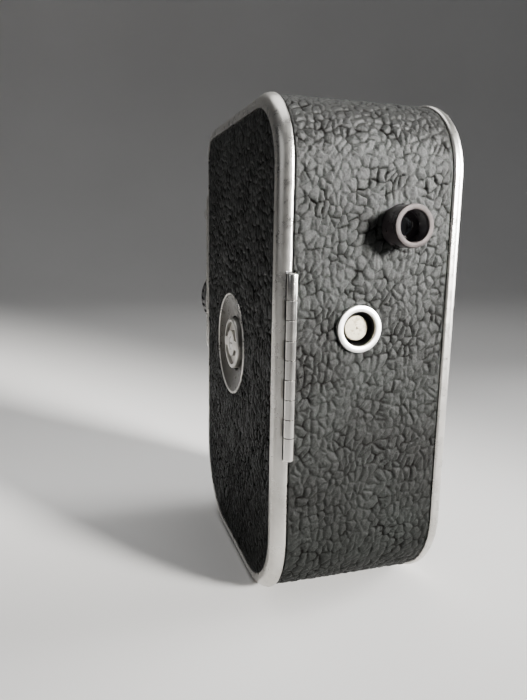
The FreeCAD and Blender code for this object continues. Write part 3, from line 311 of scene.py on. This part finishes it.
def lathe(name, axis, centre, profile, slot, body, replaced=(), segments=128, closed=True, look=None):
    """Turns (radius, distance along the axis) points round a line through centre."""
    axis_number = "xyz".index(axis)
    side_a, side_b = [(1, 2), (2, 0), (0, 1)][axis_number]
    vertices = []
    faces = []
    for radius, along in profile:
        for step in range(segments):
            turn = 2 * math.pi * step / segments
            point = [0.0, 0.0, 0.0]
            point[axis_number] = along
            point[side_a] = centre[side_a] + radius * math.cos(turn)
            point[side_b] = centre[side_b] + radius * math.sin(turn)
            vertices.append(point)
    rows = len(profile)
    last = rows if closed else rows - 1
    for row in range(last):
        below = row * segments
        above = ((row + 1) % rows) * segments
        for step in range(segments):
            following = (step + 1) % segments
            faces.append((below + step, below + following, above + following, above + step))
    made = add_mesh(name, vertices, faces, slot, body, replaced, look=look)
    tidy = bmesh.new()
    tidy.from_mesh(made.data)
    bmesh.ops.remove_doubles(tidy, verts=tidy.verts, dist=1e-7)
    bmesh.ops.recalc_face_normals(tidy, faces=tidy.faces)
    tidy.to_mesh(made.data)
    tidy.free()
    return made


# ---- case outline -------------------------------------------------------------------------------
def outline_path(inset, step):
    """Evenly spaced points and outward normals round the case profile, in the YZ plane."""
    corners = []
    for name, start in (("back_top", 0), ("front_top", 90), ("front_bottom", 180), ("back_bottom", 270)):
        radius = RADII[name] - inset
        y = HALF_DEPTH - RADII[name] if name.startswith("back") else RADII[name] - HALF_DEPTH
        z = HEIGHT - RADII[name] if name.endswith("top") else RADII[name]
        corners.append((y, z, radius, math.radians(start)))
    points, normals = [], []
    for number, (y, z, radius, start) in enumerate(corners):
        count = max(8, int(round(radius * math.pi / 2 / step)))
        for part in range(count + 1):
            turn = start + math.pi / 2 * part / count
            points.append((y + radius * math.cos(turn), z + radius * math.sin(turn)))
            normals.append((math.cos(turn), math.sin(turn)))
        next_y, next_z, next_r, next_start = corners[(number + 1) % 4]
        first = np.array(points[-1])
        last = np.array((next_y + next_r * math.cos(next_start), next_z + next_r * math.sin(next_start)))
        count = int(np.linalg.norm(last - first) / step)
        for part in range(1, count):
            points.append(tuple(first + (last - first) * part / count))
            normals.append(normals[-1])
    return np.array(points), np.array(normals)


def outline_distance(y, z, inset):
    """Signed distance to the case outline moved in by inset: negative inside. Gives the gradient too."""
    radius = np.where(y > 0, np.where(z > HEIGHT / 2, RADII["back_top"], RADII["back_bottom"]),
                      np.where(z > HEIGHT / 2, RADII["front_top"], RADII["front_bottom"]))
    away_y = np.abs(y) - (HALF_DEPTH - radius)
    away_z = np.abs(z - HEIGHT / 2) - (HEIGHT / 2 - radius)
    corner = (away_y > 0) & (away_z > 0)
    length = np.hypot(away_y, away_z)
    distance = np.where(corner, length, np.maximum(away_y, away_z)) - radius + inset
    grad_y = np.where(corner, away_y / np.maximum(length, 1e-9), (away_y >= away_z) * 1.0) * np.sign(y)
    grad_z = np.where(corner, away_z / np.maximum(length, 1e-9), (away_y < away_z) * 1.0)
    return distance, grad_y, grad_z * np.sign(z - HEIGHT / 2)


# ---- leather grain ------------------------------------------------------------------------------
def lattice(a, b, seed):
    """A repeatable number from 0 to 1 for each pair of whole numbers."""
    mixed = np.sin(a * 127.1 + b * 311.7 + seed * 74.7) * 43758.5453
    return mixed - np.floor(mixed)


def drift(u, v, size, seed):
    """Smooth noise from -1 to 1, with features about as large as size."""
    a, b = u / size, v / size
    cell_a, cell_b = np.floor(a), np.floor(b)
    part_a, part_b = a - cell_a, b - cell_b
    part_a = part_a * part_a * (3 - 2 * part_a)
    part_b = part_b * part_b * (3 - 2 * part_b)
    low = lattice(cell_a, cell_b, seed) * (1 - part_a)
    low = low + lattice(cell_a + 1, cell_b, seed) * part_a
    high = lattice(cell_a, cell_b + 1, seed) * (1 - part_a)
    high = high + lattice(cell_a + 1, cell_b + 1, seed) * part_a
    return 2 * (low * (1 - part_b) + high * part_b) - 1


def cell_border(u, v, size, seed):
    """Distance to the jittered cell's border, a number per cell and the offset from its centre."""
    a, b = u / size, v / size
    cell_a, cell_b = np.floor(a), np.floor(b)
    spots = []
    for step_a in (-1, 0, 1):
        for step_b in (-1, 0, 1):
            grid_a, grid_b = cell_a + step_a, cell_b + step_b
            spots.append((grid_a + 0.08 + 0.84 * lattice(grid_a, grid_b, seed),
                          grid_b + 0.08 + 0.84 * lattice(grid_a, grid_b, seed + 0.37)))
    best = np.full(u.shape, 9.0)
    near_a, near_b = np.zeros(u.shape), np.zeros(u.shape)
    for spot_a, spot_b in spots:
        distance = np.hypot(spot_a - a, spot_b - b)
        closer = distance < best
        near_a = np.where(closer, spot_a, near_a)
        near_b = np.where(closer, spot_b, near_b)
        best = np.where(closer, distance, best)
    border = np.full(u.shape, 9.0)
    for spot_a, spot_b in spots:
        span_a, span_b = spot_a - near_a, spot_b - near_b
        span = np.hypot(span_a, span_b)
        away = ((spot_a + near_a) / 2 - a) * span_a + ((spot_b + near_b) / 2 - b) * span_b
        away = np.where(span > 1e-6, away / np.maximum(span, 1e-6), 9.0)
        border = np.minimum(border, away)
    tone = lattice(np.round(near_a * 50), np.round(near_b * 50), seed)
    return border * size, tone, (a - near_a) * size, (b - near_b) * size


def pebble(u, v, seed):
    """Height of the hide in millimetres, from deep creases to the pebble tops, and a 0-1 crease tone
    that is partly the hide's own darkening and partly painted shade.
    """
    bent_u = u + 1.2 * drift(u, v, 7.0, seed + 1) + 0.36 * drift(u, v, 1.5, seed + 2)
    bent_v = v + 1.2 * drift(u, v, 7.0, seed + 3) + 0.36 * drift(u, v, 1.5, seed + 4)
    folds, _, _, _ = cell_border(bent_u / 1.3 + 0.5 * bent_v, bent_v, 5.4, seed + 5)
    cells, tone, off_u, off_v = cell_border(bent_u / 1.2 + 0.25 * bent_v, bent_v, 1.95, seed)
    fine, _, _, _ = cell_border(bent_u + 31.0, bent_v - 17.0, 0.95, seed + 9)
    strength = np.clip(0.92 + 0.40 * drift(u, v, 3.0, seed + 6), 0.45, 1.2)
    fold = np.exp(-folds / 0.34) * np.clip(0.6 + 0.5 * drift(u, v, 7.0, seed + 7), 0.1, 1.0)
    crease = np.exp(-cells / 0.24) * strength
    dome = np.exp(-cells / 0.60) * strength
    wrinkle = np.exp(-fine / 0.17) * np.clip(0.50 + 0.70 * drift(u, v, 2.0, seed + 8), 0.0, 1.0)
    facet_u = lattice(np.round(tone * 900), 3.0, seed + 12) - 0.5
    facet_v = lattice(np.round(tone * 900), 8.0, seed + 13) - 0.5
    height = -0.20 * fold - 0.18 * crease - 0.26 * dome - 0.13 * wrinkle + 0.08 * (tone - 0.5)
    height += 0.24 * (facet_u * off_u + facet_v * off_v) + 0.05 * drift(u, v, 0.7, seed + 10) + 0.17
    # Crease tone for the shader: darker in folds, creases and wrinkles, partly the hide's own colour and
    # partly painted shade.
    crease_tone_and_shade = np.clip(1.0 - 0.30 * fold - 0.72 * crease - 0.30 * wrinkle, 0.0, 1.0)
    return np.minimum(height, 0.30), crease_tone_and_shade


def finish_hide(made, crease_tone_and_shade):
    """Stores the crease tone, partly painted shade, for the shader and gives the cut edges of the sheet
    their thickness.
    """
    mesh = made.data
    attribute = mesh.attributes.new("relief_with_crease_shade", "FLOAT", "POINT")
    attribute.data.foreach_set("value", np.asarray(crease_tone_and_shade, np.float32))
    tidy = bmesh.new()
    tidy.from_mesh(mesh)
    layer = tidy.verts.layers.float["relief_with_crease_shade"]
    normals = {v: v.normal.copy() for v in tidy.verts if v.is_boundary}
    rim = [edge for edge in tidy.edges if edge.is_boundary]
    extruded = bmesh.ops.extrude_edge_only(tidy, edges=rim)["geom"]
    fresh = [item for item in extruded if isinstance(item, bmesh.types.BMVert)]
    edge_tone = 0.15
    for vertex in fresh:
        vertex[layer] = edge_tone
    tops = {}
    for edge in (item for vertex in fresh for item in vertex.link_edges):
        a, b = edge.verts
        if a in normals and b not in normals:
            tops[b] = normals[a]
        elif b in normals and a not in normals:
            tops[a] = normals[b]
    for vertex in fresh:
        vertex.co -= tops[vertex] * SKIRT * MM
    tidy.to_mesh(mesh)
    tidy.free()
    mesh.shade_smooth()
    return made


def grid_faces(keep, columns, wrap_columns):
    """Quads of the kept cells of a grid of points."""
    faces = []
    for row in range(keep.shape[0]):
        for column in np.nonzero(keep[row])[0]:
            following = (column + 1) % columns if wrap_columns else column + 1
            faces.append((row * columns + column, row * columns + following,
                          (row + 1) * columns + following, (row + 1) * columns + column))
    return faces


def circle_distance(a, b, centre, radius):
    """Signed distance into a round hole, negative outside it, with the way out of the material."""
    away_a, away_b = a - centre[0], b - centre[1]
    length = np.maximum(np.hypot(away_a, away_b), 1e-9)
    return radius - length, -away_a / length, -away_b / length


def plate_distance(a, b, low, high, radius):
    """The same for a rectangular hole with rounded corners."""
    middle_a, middle_b = (low[0] + high[0]) / 2, (low[1] + high[1]) / 2
    away_a = np.abs(a - middle_a) - (high[0] - low[0]) / 2 + radius
    away_b = np.abs(b - middle_b) - (high[1] - low[1]) / 2 + radius
    corner = (away_a > 0) & (away_b > 0)
    length = np.hypot(away_a, away_b)
    distance = radius - np.where(corner, length, np.maximum(away_a, away_b))
    grad_a = np.where(corner, away_a / np.maximum(length, 1e-9), (away_a >= away_b) * 1.0)
    grad_b = np.where(corner, away_b / np.maximum(length, 1e-9), (away_a < away_b) * 1.0)
    return distance, -grad_a * np.sign(a - middle_a), -grad_b * np.sign(b - middle_b)


def cut_sheet(a, b, limits, step, wrap):
    """Drops grid faces outside the limits and slides the border points onto them.

    Each limit is a function of (a, b) giving a signed distance, positive where there is no
    material, and its gradient.
    """
    centre_a = (a[:-1, :-1] + a[1:, 1:]) / 2
    centre_b = (b[:-1, :-1] + b[1:, 1:]) / 2
    if wrap:
        centre_a = (a[:-1, :] + np.roll(a, -1, 1)[1:, :]) / 2
        centre_b = (b[:-1, :] + b[1:, :]) / 2
    keep = np.ones(centre_a.shape, bool)
    for limit in limits:
        distance, _, _ = limit(centre_a, centre_b)
        keep &= distance < 0
    for limit in limits:
        distance, grad_a, grad_b = limit(a, b)
        near = (distance > -0.5 * step) & (distance < 1.6 * step)
        a = np.where(near, a - distance * grad_a, a)
        b = np.where(near, b - distance * grad_b, b)
    return a, b, keep


def used_only(vertices, faces, *values):
    """Drops the vertices that no face uses, and their values."""
    used = np.unique(np.array(faces).ravel())
    fresh = np.full(len(vertices), -1)
    fresh[used] = np.arange(len(used))
    faces = [tuple(fresh[list(face)]) for face in faces]
    return [vertices[used], faces] + [value[used] for value in values]


def press_down(height, from_edge):
    """Flattens the grain where the hide is rolled down along its edge."""
    pressed = np.exp(-(from_edge / PRESSED_EDGE) ** 2)
    return height * (1 - 0.7 * pressed) - 0.12 * pressed


def band_hide():
    """The hide round the case, cut out for the eyepiece, ring, hinge and plates."""
    inset = LEATHER_BELOW_RIM + HIDE_LIFT
    points, normals = outline_path(inset, GRAIN_STEP)
    low, high = box_mm("band_leather")
    rows = int(round((high[0] - low[0]) / GRAIN_STEP)) + 1
    columns = len(points)
    length = np.concatenate([[0], np.cumsum(np.linalg.norm(np.diff(points, axis=0), axis=1))])
    x_lines = np.linspace(low[0], high[0], rows)
    u, v = np.meshgrid(length, x_lines)
    y, z = points[:, 0][None, :].repeat(rows, 0), points[:, 1][None, :].repeat(rows, 0)
    x, y, z, keep = band_cutouts(v.copy(), y, z)
    seam_blend = 6.0
    crossfade = np.clip(1 - u / seam_blend, 0, 1)
    height, crease_tone_and_shade = pebble(u, v, BAND_SEED)
    joined_height, joined_crease_tone_and_shade = pebble(u + length[-1] + GRAIN_STEP, v, BAND_SEED)
    height = height * (1 - crossfade) + joined_height * crossfade
    crease_tone_and_shade = crease_tone_and_shade * (1 - crossfade) + joined_crease_tone_and_shade * crossfade
    height = press_down(height, np.minimum(v - low[0], high[0] - v))
    out_y = normals[:, 0][None, :].repeat(rows, 0)
    out_z = normals[:, 1][None, :].repeat(rows, 0)
    vertices = np.stack([x, y + out_y * height, z + out_z * height], -1).reshape(-1, 3)
    faces = grid_faces(keep, columns, True)
    vertices, faces, crease_tone_and_shade = used_only(vertices, faces, crease_tone_and_shade.reshape(-1))
    made = add_mesh("hide_band", vertices, faces, "case_leather", "chassis", ("band_leather",), None)
    return finish_hide(made, crease_tone_and_shade)


def band_cutouts(x, y, z):
    """Cuts the openings on the back, front and base, where the band is flat.

    Each job on z starts from the z that came in, so only the last one's shift in z is kept.
    """
    eye = centre_mm("eyepiece")
    ring = centre_mm("plunger_ring")
    hinge_low, hinge_high = box_mm("hinge_body_knuckles")
    plate_low, plate_high = box_mm("front_plate")
    base_low, base_high = box_mm("base_plate")
    flat_depth = 1.0
    on_back = y > HALF_DEPTH - flat_depth
    on_front = y < flat_depth - HALF_DEPTH
    on_base = z < flat_depth
    round_gap, hinge_gap, hinge_side, past_edge = 0.02, 0.25, 2.45, 9.0
    eye_r = (box_mm("eyepiece")[1][0] - eye[0]) + round_gap
    ring_r = (box_mm("plunger_ring")[1][0] - ring[0]) + round_gap
    hinge_cut = ((hinge_high[0] - hinge_side, hinge_low[2] - hinge_gap),
                 (hinge_high[0] + past_edge, hinge_high[2] + hinge_gap))
    keep = np.ones((x.shape[0] - 1, x.shape[1]), bool)
    jobs = [
        (on_back, z, lambda a, b: circle_distance(a, b, (eye[0], eye[2]), eye_r)),
        (on_back, z, lambda a, b: circle_distance(a, b, (ring[0], ring[2]), ring_r)),
        (on_back, z, lambda a, b: plate_distance(a, b, *hinge_cut, HINGE_CUT_CORNER)),
        (on_front, z, lambda a, b: plate_distance(a, b, plate_low[[0, 2]], plate_high[[0, 2]],
                                                  FRONT_PLATE_CORNER)),
        (on_base, y, lambda a, b: plate_distance(a, b, base_low[:2], base_high[:2],
                                                 BASE_PLATE_CORNER)),
    ]
    for where, other, limit in jobs:
        new_x, new_other, kept = cut_sheet(x, other, [limit], GRAIN_STEP, True)
        region = where[:-1, :] & np.roll(where, -1, 1)[:-1, :]
        keep &= kept | ~region
        x = np.where(where, new_x, x)
        moved = np.where(where, new_other, other)
        if other is y:
            y = moved
        else:
            z = moved
    return x, y, z, keep


def side_hide(name, side, node_name, holes, seed, body):
    """A flat hide panel with the case's outline, on the door (+1) or the winding side (-1)."""
    low, high = box_mm(node_name)
    surface_x = (high[0] if side > 0 else low[0]) - side * HIDE_LIFT
    margin = 2 * GRAIN_STEP
    y_lines = np.arange(low[1] - margin, high[1] + margin, GRAIN_STEP)
    z_lines = np.arange(low[2] - margin, high[2] + margin, GRAIN_STEP)
    y, z = np.meshgrid(y_lines, z_lines)
    u, v = z.copy(), y.copy()
    limits = [lambda a, b: outline_distance(a, b, PANEL_INSET)]
    for centre, radius in holes:
        limits.append(lambda a, b, c=centre, r=radius: circle_distance(a, b, c, r))
    y, z, keep = cut_sheet(y, z, limits, GRAIN_STEP, False)
    height, crease_tone_and_shade = pebble(u, v, seed)
    distance, _, _ = outline_distance(y, z, PANEL_INSET)
    height = press_down(height, distance)
    vertices = np.stack([surface_x + side * height, y, z], -1).reshape(-1, 3)
    faces = grid_faces(keep, y.shape[1], False)
    if side < 0:
        faces = [face[::-1] for face in faces]
    vertices, faces, crease_tone_and_shade = used_only(vertices, faces, crease_tone_and_shade.reshape(-1))
    made = add_mesh(name, vertices, faces, "side_leather", body, (node_name,), None)
    return finish_hide(made, crease_tone_and_shade)


band_hide()
door_holes = [(centre_mm("latch_bezel")[1:], LATCH_HOLE_R)]
side_hide("hide_door", 1, "door_leather", door_holes, DOOR_SEED, "door")
cover_holes = [(centre_mm("barrel_arbor")[1:], HUB_HOLE_R),
               (centre_mm("speed_dial")[1:], DIAL_HOLE_R),
               (centre_mm("window_bezel")[1:], WINDOW_HOLE_R)]
cover_holes += [(spot, SCREW_HOLE_R) for spot in SCREW_SPOTS]
side_hide("hide_cover", -1, "cover_leather", cover_holes, COVER_SEED, "chassis")


# ---- eyepiece, hinge, scales and back ring -------------------------------------------------------
def eyepiece_piece():
    """Dark tube with a fine inside thread, a stepped floor and a bare metal end face."""
    low, high = box_mm("eyepiece")
    centre = (low + high) / 2
    outer = (high[0] - low[0]) / 2
    end = high[1]
    bore, floor_y, lens_r, lens_chamfer = 3.4, 37.2, 1.95, 0.15
    rim_depth, pitch, thread_depth = 0.35, 0.36, 0.16
    thread_start, thread_end = floor_y + 0.45, end - 0.75
    profile = [(lens_r, METAL_UNDER_HIDE_Y), (lens_r, floor_y - lens_chamfer)]
    profile += [(lens_r + lens_chamfer, floor_y), (bore, floor_y)]
    y = thread_start
    while y + pitch < thread_end:
        profile += [(bore, y), (bore + thread_depth, y + pitch * 0.5), (bore, y + pitch * 0.98)]
        y += pitch
    profile += [(bore + 0.08, end - rim_depth), (outer - 0.02, end - rim_depth)]
    profile.append((outer - 0.02, METAL_UNDER_HIDE_Y))
    lathe("eyepiece_tube", "y", centre, profile, "black_enamel", "chassis", ("eyepiece",))
    face = [(bore + 0.02, end - rim_depth), (bore + 0.02, end - 0.12), (bore + 0.14, end - 0.02)]
    face += [(bore + 0.20, end), (outer - 0.16, end), (outer - 0.05, end - 0.05), (outer, end - 0.16)]
    face += [(outer, end - rim_depth - 0.12), (outer - 0.05, end - rim_depth - 0.12)]
    face += [(outer - 0.05, end - rim_depth)]
    lathe("eyepiece_rim", "y", centre, face, "satin_steel", "chassis", look="worn_bronze")


BOX_SIDES = ((0, 1, 3, 2), (4, 6, 7, 5), (0, 4, 5, 1), (2, 3, 7, 6), (0, 2, 6, 4), (1, 5, 7, 3))


def box_faces(vertices, faces, low, high):
    """Adds an axis-aligned box to a vertex and face list."""
    first = len(vertices)
    for x in (low[0], high[0]):
        for y in (low[1], high[1]):
            for z in (low[2], high[2]):
                vertices.append((x, y, z))
    for side in BOX_SIDES:
        faces.append(tuple(first + corner for corner in side))


def dome_arc(radius, dome):
    """A rounded end as (radius, depth below the end), from the end face out to the side."""
    turns = [math.radians(15 * step) for step in range(7)]
    return [(radius - dome * (1 - math.sin(turn)), dome * (1 - math.cos(turn))) for turn in turns]


def hinge_knuckles():
    """Smooth knuckles with fine seams, in turn on the body and the door, and domed outer ends."""
    centre = (HINGE_X, HINGE_Y, 0.0)
    radius, bore, chamfer, dome = 1.2, 0.62, 0.07, 0.5
    seam = [(radius - chamfer, 0.0), (radius, chamfer)]
    last = len(KNUCKLE_EDGES) - 2
    for number in range(last + 1):
        low = KNUCKLE_EDGES[number] + KNUCKLE_GAP
        high = KNUCKLE_EDGES[number + 1] - KNUCKLE_GAP
        bottom = dome_arc(radius, dome) if number == 0 else seam
        top = dome_arc(radius, dome) if number == last else seam
        profile = [(bore, low)]
        profile += [(reach, low + depth) for reach, depth in bottom]
        profile += [(reach, high - depth) for reach, depth in reversed(top)]
        profile.append((bore, high))
        body = "door" if number % 2 else "chassis"
        replaced = {0: ("hinge_body_knuckles",), 1: ("hinge_door_knuckles",)}.get(number, ())
        lathe("hinge_knuckle_%d" % (number + 1), "z", centre, profile, "bright_nickel", body, replaced,
              segments=72)


def hinge_leaf(name, body, look, first_knuckle, leaf, web):
    """The flat leaf under the hide or the rim, with a web up to each knuckle of its own body."""
    vertices, faces = [], []
    box_faces(vertices, faces, (*leaf[0], KNUCKLE_EDGES[0]), (*leaf[1], KNUCKLE_EDGES[-1]))
    last = len(KNUCKLE_EDGES) - 2
    domed_end = 0.8
    for number in range(first_knuckle, last + 1, 2):
        inner = KNUCKLE_GAP + (domed_end if number in (0, last) else 0.0)
        span = (KNUCKLE_EDGES[number] + inner, KNUCKLE_EDGES[number + 1] - inner)
        box_faces(vertices, faces, (*web[0], span[0]), (*web[1], span[1]))
        if body == "door":
            fill_rim_slot(vertices, faces, span)
    add_mesh(name, vertices, faces, "bright_nickel", body, smooth_angle=10.0, look=look)


def fill_rim_slot(vertices, faces, span):
    """Fills the slot in the door's rim, level with the rim and with the barrel's groove."""
    left, right, bottom_y, strips, sunk = 19.3, 20.88, 34.2, 12, 0.02
    half = (right - left) / strips / 2
    for strip in range(strips):
        x = left + half * (2 * strip + 1)
        rim = HALF_DEPTH - RIM_ROUND + math.sqrt(RIM_ROUND ** 2 - (x - RIM_CENTRE_X) ** 2)
        groove = HINGE_Y - math.sqrt(max(0.0, HINGE_GROOVE_R ** 2 - (x - HINGE_X) ** 2))
        top_y = min(rim, groove) - sunk
        box_faces(vertices, faces, (x - half, bottom_y, span[0]), (x + half, top_y, span[1]))


def groove_shade_sheet():
    """Painted shade: a dark sheet laid in the door's groove, so that the gap beside the hinge barrel
    reads dark.
    """
    bottom, top = KNUCKLE_EDGES[0] - 0.1, KNUCKLE_EDGES[-1] + 0.1
    first_turn, sweep, steps = -100.0, 64.0, 16
    vertices, faces = [], []
    for step in range(steps + 1):
        angle = math.radians(first_turn + sweep * step / steps)
        for reach in (HINGE_GROOVE_R - 0.02, HINGE_GROOVE_R - 0.05):
            x = HINGE_X + reach * math.cos(angle)
            y = HINGE_Y + reach * math.sin(angle)
            vertices += [(x, y, bottom), (x, y, top)]
    for step in range(steps):
        a, b = 4 * step, 4 * step + 4
        faces += [(a, b, b + 1, a + 1), (a + 2, a + 3, b + 3, b + 2)]
        faces += [(a, a + 2, b + 2, b), (a + 1, b + 1, b + 3, a + 3)]
    a = 4 * steps
    faces += [(0, 1, 3, 2), (a, a + 2, a + 3, a + 1)]
    add_mesh("hinge_groove_shade_sheet", vertices, faces, "satin_alloy", "door", look="case_metal")


def tick_marks(name, axis, centre, radius, at, length, turns, slot, body, on_face):
    """Painted index lines: radial on a dial's face, or along the axis on a ring's rim."""
    axis_vector = Vector([1.0 if letter == axis else 0.0 for letter in "xyz"])
    side_a = Vector((0, 1, 0)) if axis == "x" else Vector((1, 0, 0))
    side_b = Vector((0, 0, 1))
    vertices, faces = [], []
    half_width, half_thick = 0.10, 0.03
    for turn in turns:
        angle = math.radians(turn)
        outward = side_a * math.cos(angle) + side_b * math.sin(angle)
        across = axis_vector.cross(outward)
        middle = Vector(centre) + outward * radius + axis_vector * at
        along, thick = (outward, axis_vector) if on_face else (axis_vector, outward)
        first = len(vertices)
        for step_a in (-length / 2, length / 2):
            for step_b in (-half_width, half_width):
                for step_c in (-half_thick, half_thick):
                    vertices.append(middle + along * step_a + across * step_b + thick * step_c)
        for side in BOX_SIDES:
            faces.append(tuple(first + corner for corner in side))
    add_mesh(name, vertices, faces, slot, body, smooth_angle=10.0)


def dial_marks():
    """Plain scales without lettering on the lens rings, the speed dial and the footage dial."""
    low, high = box_mm("focus_ring")
    centre, rim = (low + high) / 2, (high[2] - low[2]) / 2
    tick_marks("focus_scale", "y", (centre[0], 0, centre[2]), rim - 0.04, high[1] - 0.4, 0.6,
               range(20, 341, 20), "dial_white", "focus", False)
    low, high = box_mm("aperture_ring")
    centre, rim = (low + high) / 2, (high[2] - low[2]) / 2
    tick_marks("aperture_scale", "y", (centre[0], 0, centre[2]), rim - 0.6, low[1], 0.7,
               range(40, 141, 20), "black_enamel", "aperture", True)
    low, high = box_mm("speed_dial")
    centre = (low + high) / 2
    tick_marks("speed_scale", "x", (0, centre[1], centre[2]), 4.8, low[0], 1.2,
               range(120, 421, 50), "black_enamel", "speed", True)
    low, high = box_mm("counter_dial")
    centre = (low + high) / 2
    tick_marks("footage_scale", "x", (0, centre[1], centre[2]), 7.6, low[0], 1.4,
               range(0, 360, 12), "black_enamel", "counter", True)


def back_ring_piece():
    """Bright ring proud of the hide, over a black cup that paints the shade in the gap round the disc.
    """
    low, high = box_mm("plunger_ring")
    centre = (low + high) / 2
    outer = (high[0] - low[0]) / 2
    end = high[1]
    hole, seat = 3.9, METAL_UNDER_HIDE_Y
    ring = [(hole, seat), (hole, end - 0.25), (hole + 0.07, end - 0.08), (hole + 0.25, end)]
    ring += [(outer - 0.3, end), (outer - 0.09, end - 0.09), (outer, end - 0.3), (outer, seat)]
    lathe("back_ring", "y", centre, ring, "bright_nickel", "chassis", ("plunger_ring",),
          look="ring_nickel")
    # The cup is black as painted shade: its walls stand in for the shade in the gap round the disc.
    cup_back, cup_front = low[1], end - 0.75
    floor_thick, stem_hole, cup_outer, wall = 1.0, 1.25, 4.8, 0.3
    cup = [(hole - 0.02, cup_front), (hole - 0.02, cup_back + floor_thick)]
    cup += [(stem_hole, cup_back + floor_thick), (stem_hole, cup_back), (cup_outer, cup_back)]
    cup += [(cup_outer, seat), (hole + wall, seat), (hole + wall, cup_front)]
    lathe("back_cup_painted_shade", "y", centre, cup, "black_oxide", "chassis")


eyepiece_piece()
hinge_knuckles()
hinge_leaf("hinge_body_leaf", "chassis", "case_metal", 0,
           ((10.3, 34.35), (18.75, 34.85)), ((18.4, 34.35), (18.75, 36.1)))
hinge_leaf("hinge_door_leaf", "door", "satin_alloy", 1,
           ((18.96, 33.9), (20.9, 34.4)), ((18.98, 34.2), (19.3, 35.85)))
groove_shade_sheet()
dial_marks()
back_ring_piece()


# ---- floor, backdrop, light and camera -----------------------------------------------------------
def plain_stage():
    """Pale floor that curves up far behind the object."""
    material, tree, shader = new_material("stage_paper")
    tint = noise(tree, coordinates(tree), 0.004, 2.0, 0.5)
    tree.links.new(ramp(tree, tint, [(0.3, (0.61, 0.60, 0.585)), (0.7, (0.64, 0.63, 0.615))]),
                   shader.inputs["Base Color"])
    shader.inputs["Roughness"].default_value = 0.9
    half, near, far, bend, rise, steps = 1.6, 0.9, -0.7, 0.5, 1.6, 24
    section = [(near, 0.0)]
    for step in range(steps + 1):
        turn = math.pi / 2 * step / steps
        section.append((far - bend * math.sin(turn), bend - bend * math.cos(turn)))
    section.append((far - bend, rise))
    vertices = [(x, y, z) for y, z in section for x in (-half, half)]
    faces = [(2 * n, 2 * n + 1, 2 * n + 3, 2 * n + 2) for n in range(len(section) - 1)]
    mesh = bpy.data.meshes.new("stage_floor")
    mesh.from_pydata(vertices, [], faces)
    mesh.shade_smooth()
    mesh.materials.append(material)
    floor = bpy.data.objects.new("stage_floor", mesh)
    bpy.context.scene.collection.objects.link(floor)


def area_light(name, place, target, size, power, colour, spread=180.0):
    """A soft box aimed at a target, with its beam's spread in degrees."""
    light = bpy.data.lights.new(name, "AREA")
    light.spread = math.radians(spread)
    light.shape = "RECTANGLE"
    light.size, light.size_y = size
    light.energy = power
    light.color = colour
    holder = bpy.data.objects.new(name, light)
    holder.location = place
    holder.visible_camera = False
    holder.rotation_euler = (Vector(target) - Vector(place)).to_track_quat("-Z", "Y").to_euler()
    bpy.context.scene.collection.objects.link(holder)


def world_light(strength, dark, bright, towards):
    """Soft studio surround, brighter towards one side."""
    world = bpy.data.worlds.new("studio")
    world.use_nodes = True
    tree = world.node_tree
    background = tree.nodes["Background"]
    source = node(tree, "ShaderNodeTexCoord")
    facing = node(tree, "ShaderNodeVectorMath", operation="DOT_PRODUCT")
    facing.inputs[1].default_value = Vector(towards).normalized()
    tree.links.new(source.outputs["Generated"], facing.inputs[0])
    spread = node(tree, "ShaderNodeMapRange")
    spread.inputs["From Min"].default_value = -1.0
    tree.links.new(facing.outputs["Value"], spread.inputs["Value"])
    tint = ramp(tree, spread.outputs["Result"], [(0.25, dark), (0.95, bright)])
    tree.links.new(tint, background.inputs["Color"])
    background.inputs["Strength"].default_value = strength
    bpy.context.scene.world = world


def photo_camera():
    """The view from behind, slightly above, on the film door's side."""
    place = Vector((0.06259, 0.15609, 0.08793))
    forward = Vector((-0.293, -0.9386, -0.1824)).normalized()
    up = Vector((-0.0396, -0.1787, 0.9831))
    side = forward.cross(up).normalized()
    up = side.cross(forward)
    data = bpy.data.cameras.new("view")
    data.sensor_width = 36.0
    data.lens = 31.07
    data.clip_start = 0.005
    camera = bpy.data.objects.new("view", data)
    rotation = Matrix((side, up, -forward)).transposed().to_4x4()
    camera.matrix_world = Matrix.Translation(place) @ rotation
    bpy.context.scene.collection.objects.link(camera)
    bpy.context.scene.camera = camera


plain_stage()
MIDDLE = (0.0, 0.0, 0.06)
WHITE = (1.0, 1.0, 1.0)
area_light("key", (-0.34, 0.43, 0.26), (-0.03, 0.03, 0.122), (0.18, 0.20), 1.3,
           (1.0, 0.985, 0.96), 22.0)
area_light("side", (-0.55, 0.02, 0.20), (0.0, 0.03, 0.09), (0.30, 0.36), 1.4, WHITE, 42.0)
area_light("fill", (0.60, 0.15, 0.30), MIDDLE, (0.4, 0.4), 0.35, (0.98, 0.99, 1.0))
area_light("top", (0.0, -0.10, 0.62), MIDDLE, (0.5, 0.5), 2.2, WHITE)
world_light(0.23, (0.08, 0.08, 0.09), (0.95, 0.97, 1.0), (-0.7, 0.3, 0.65))
photo_camera()
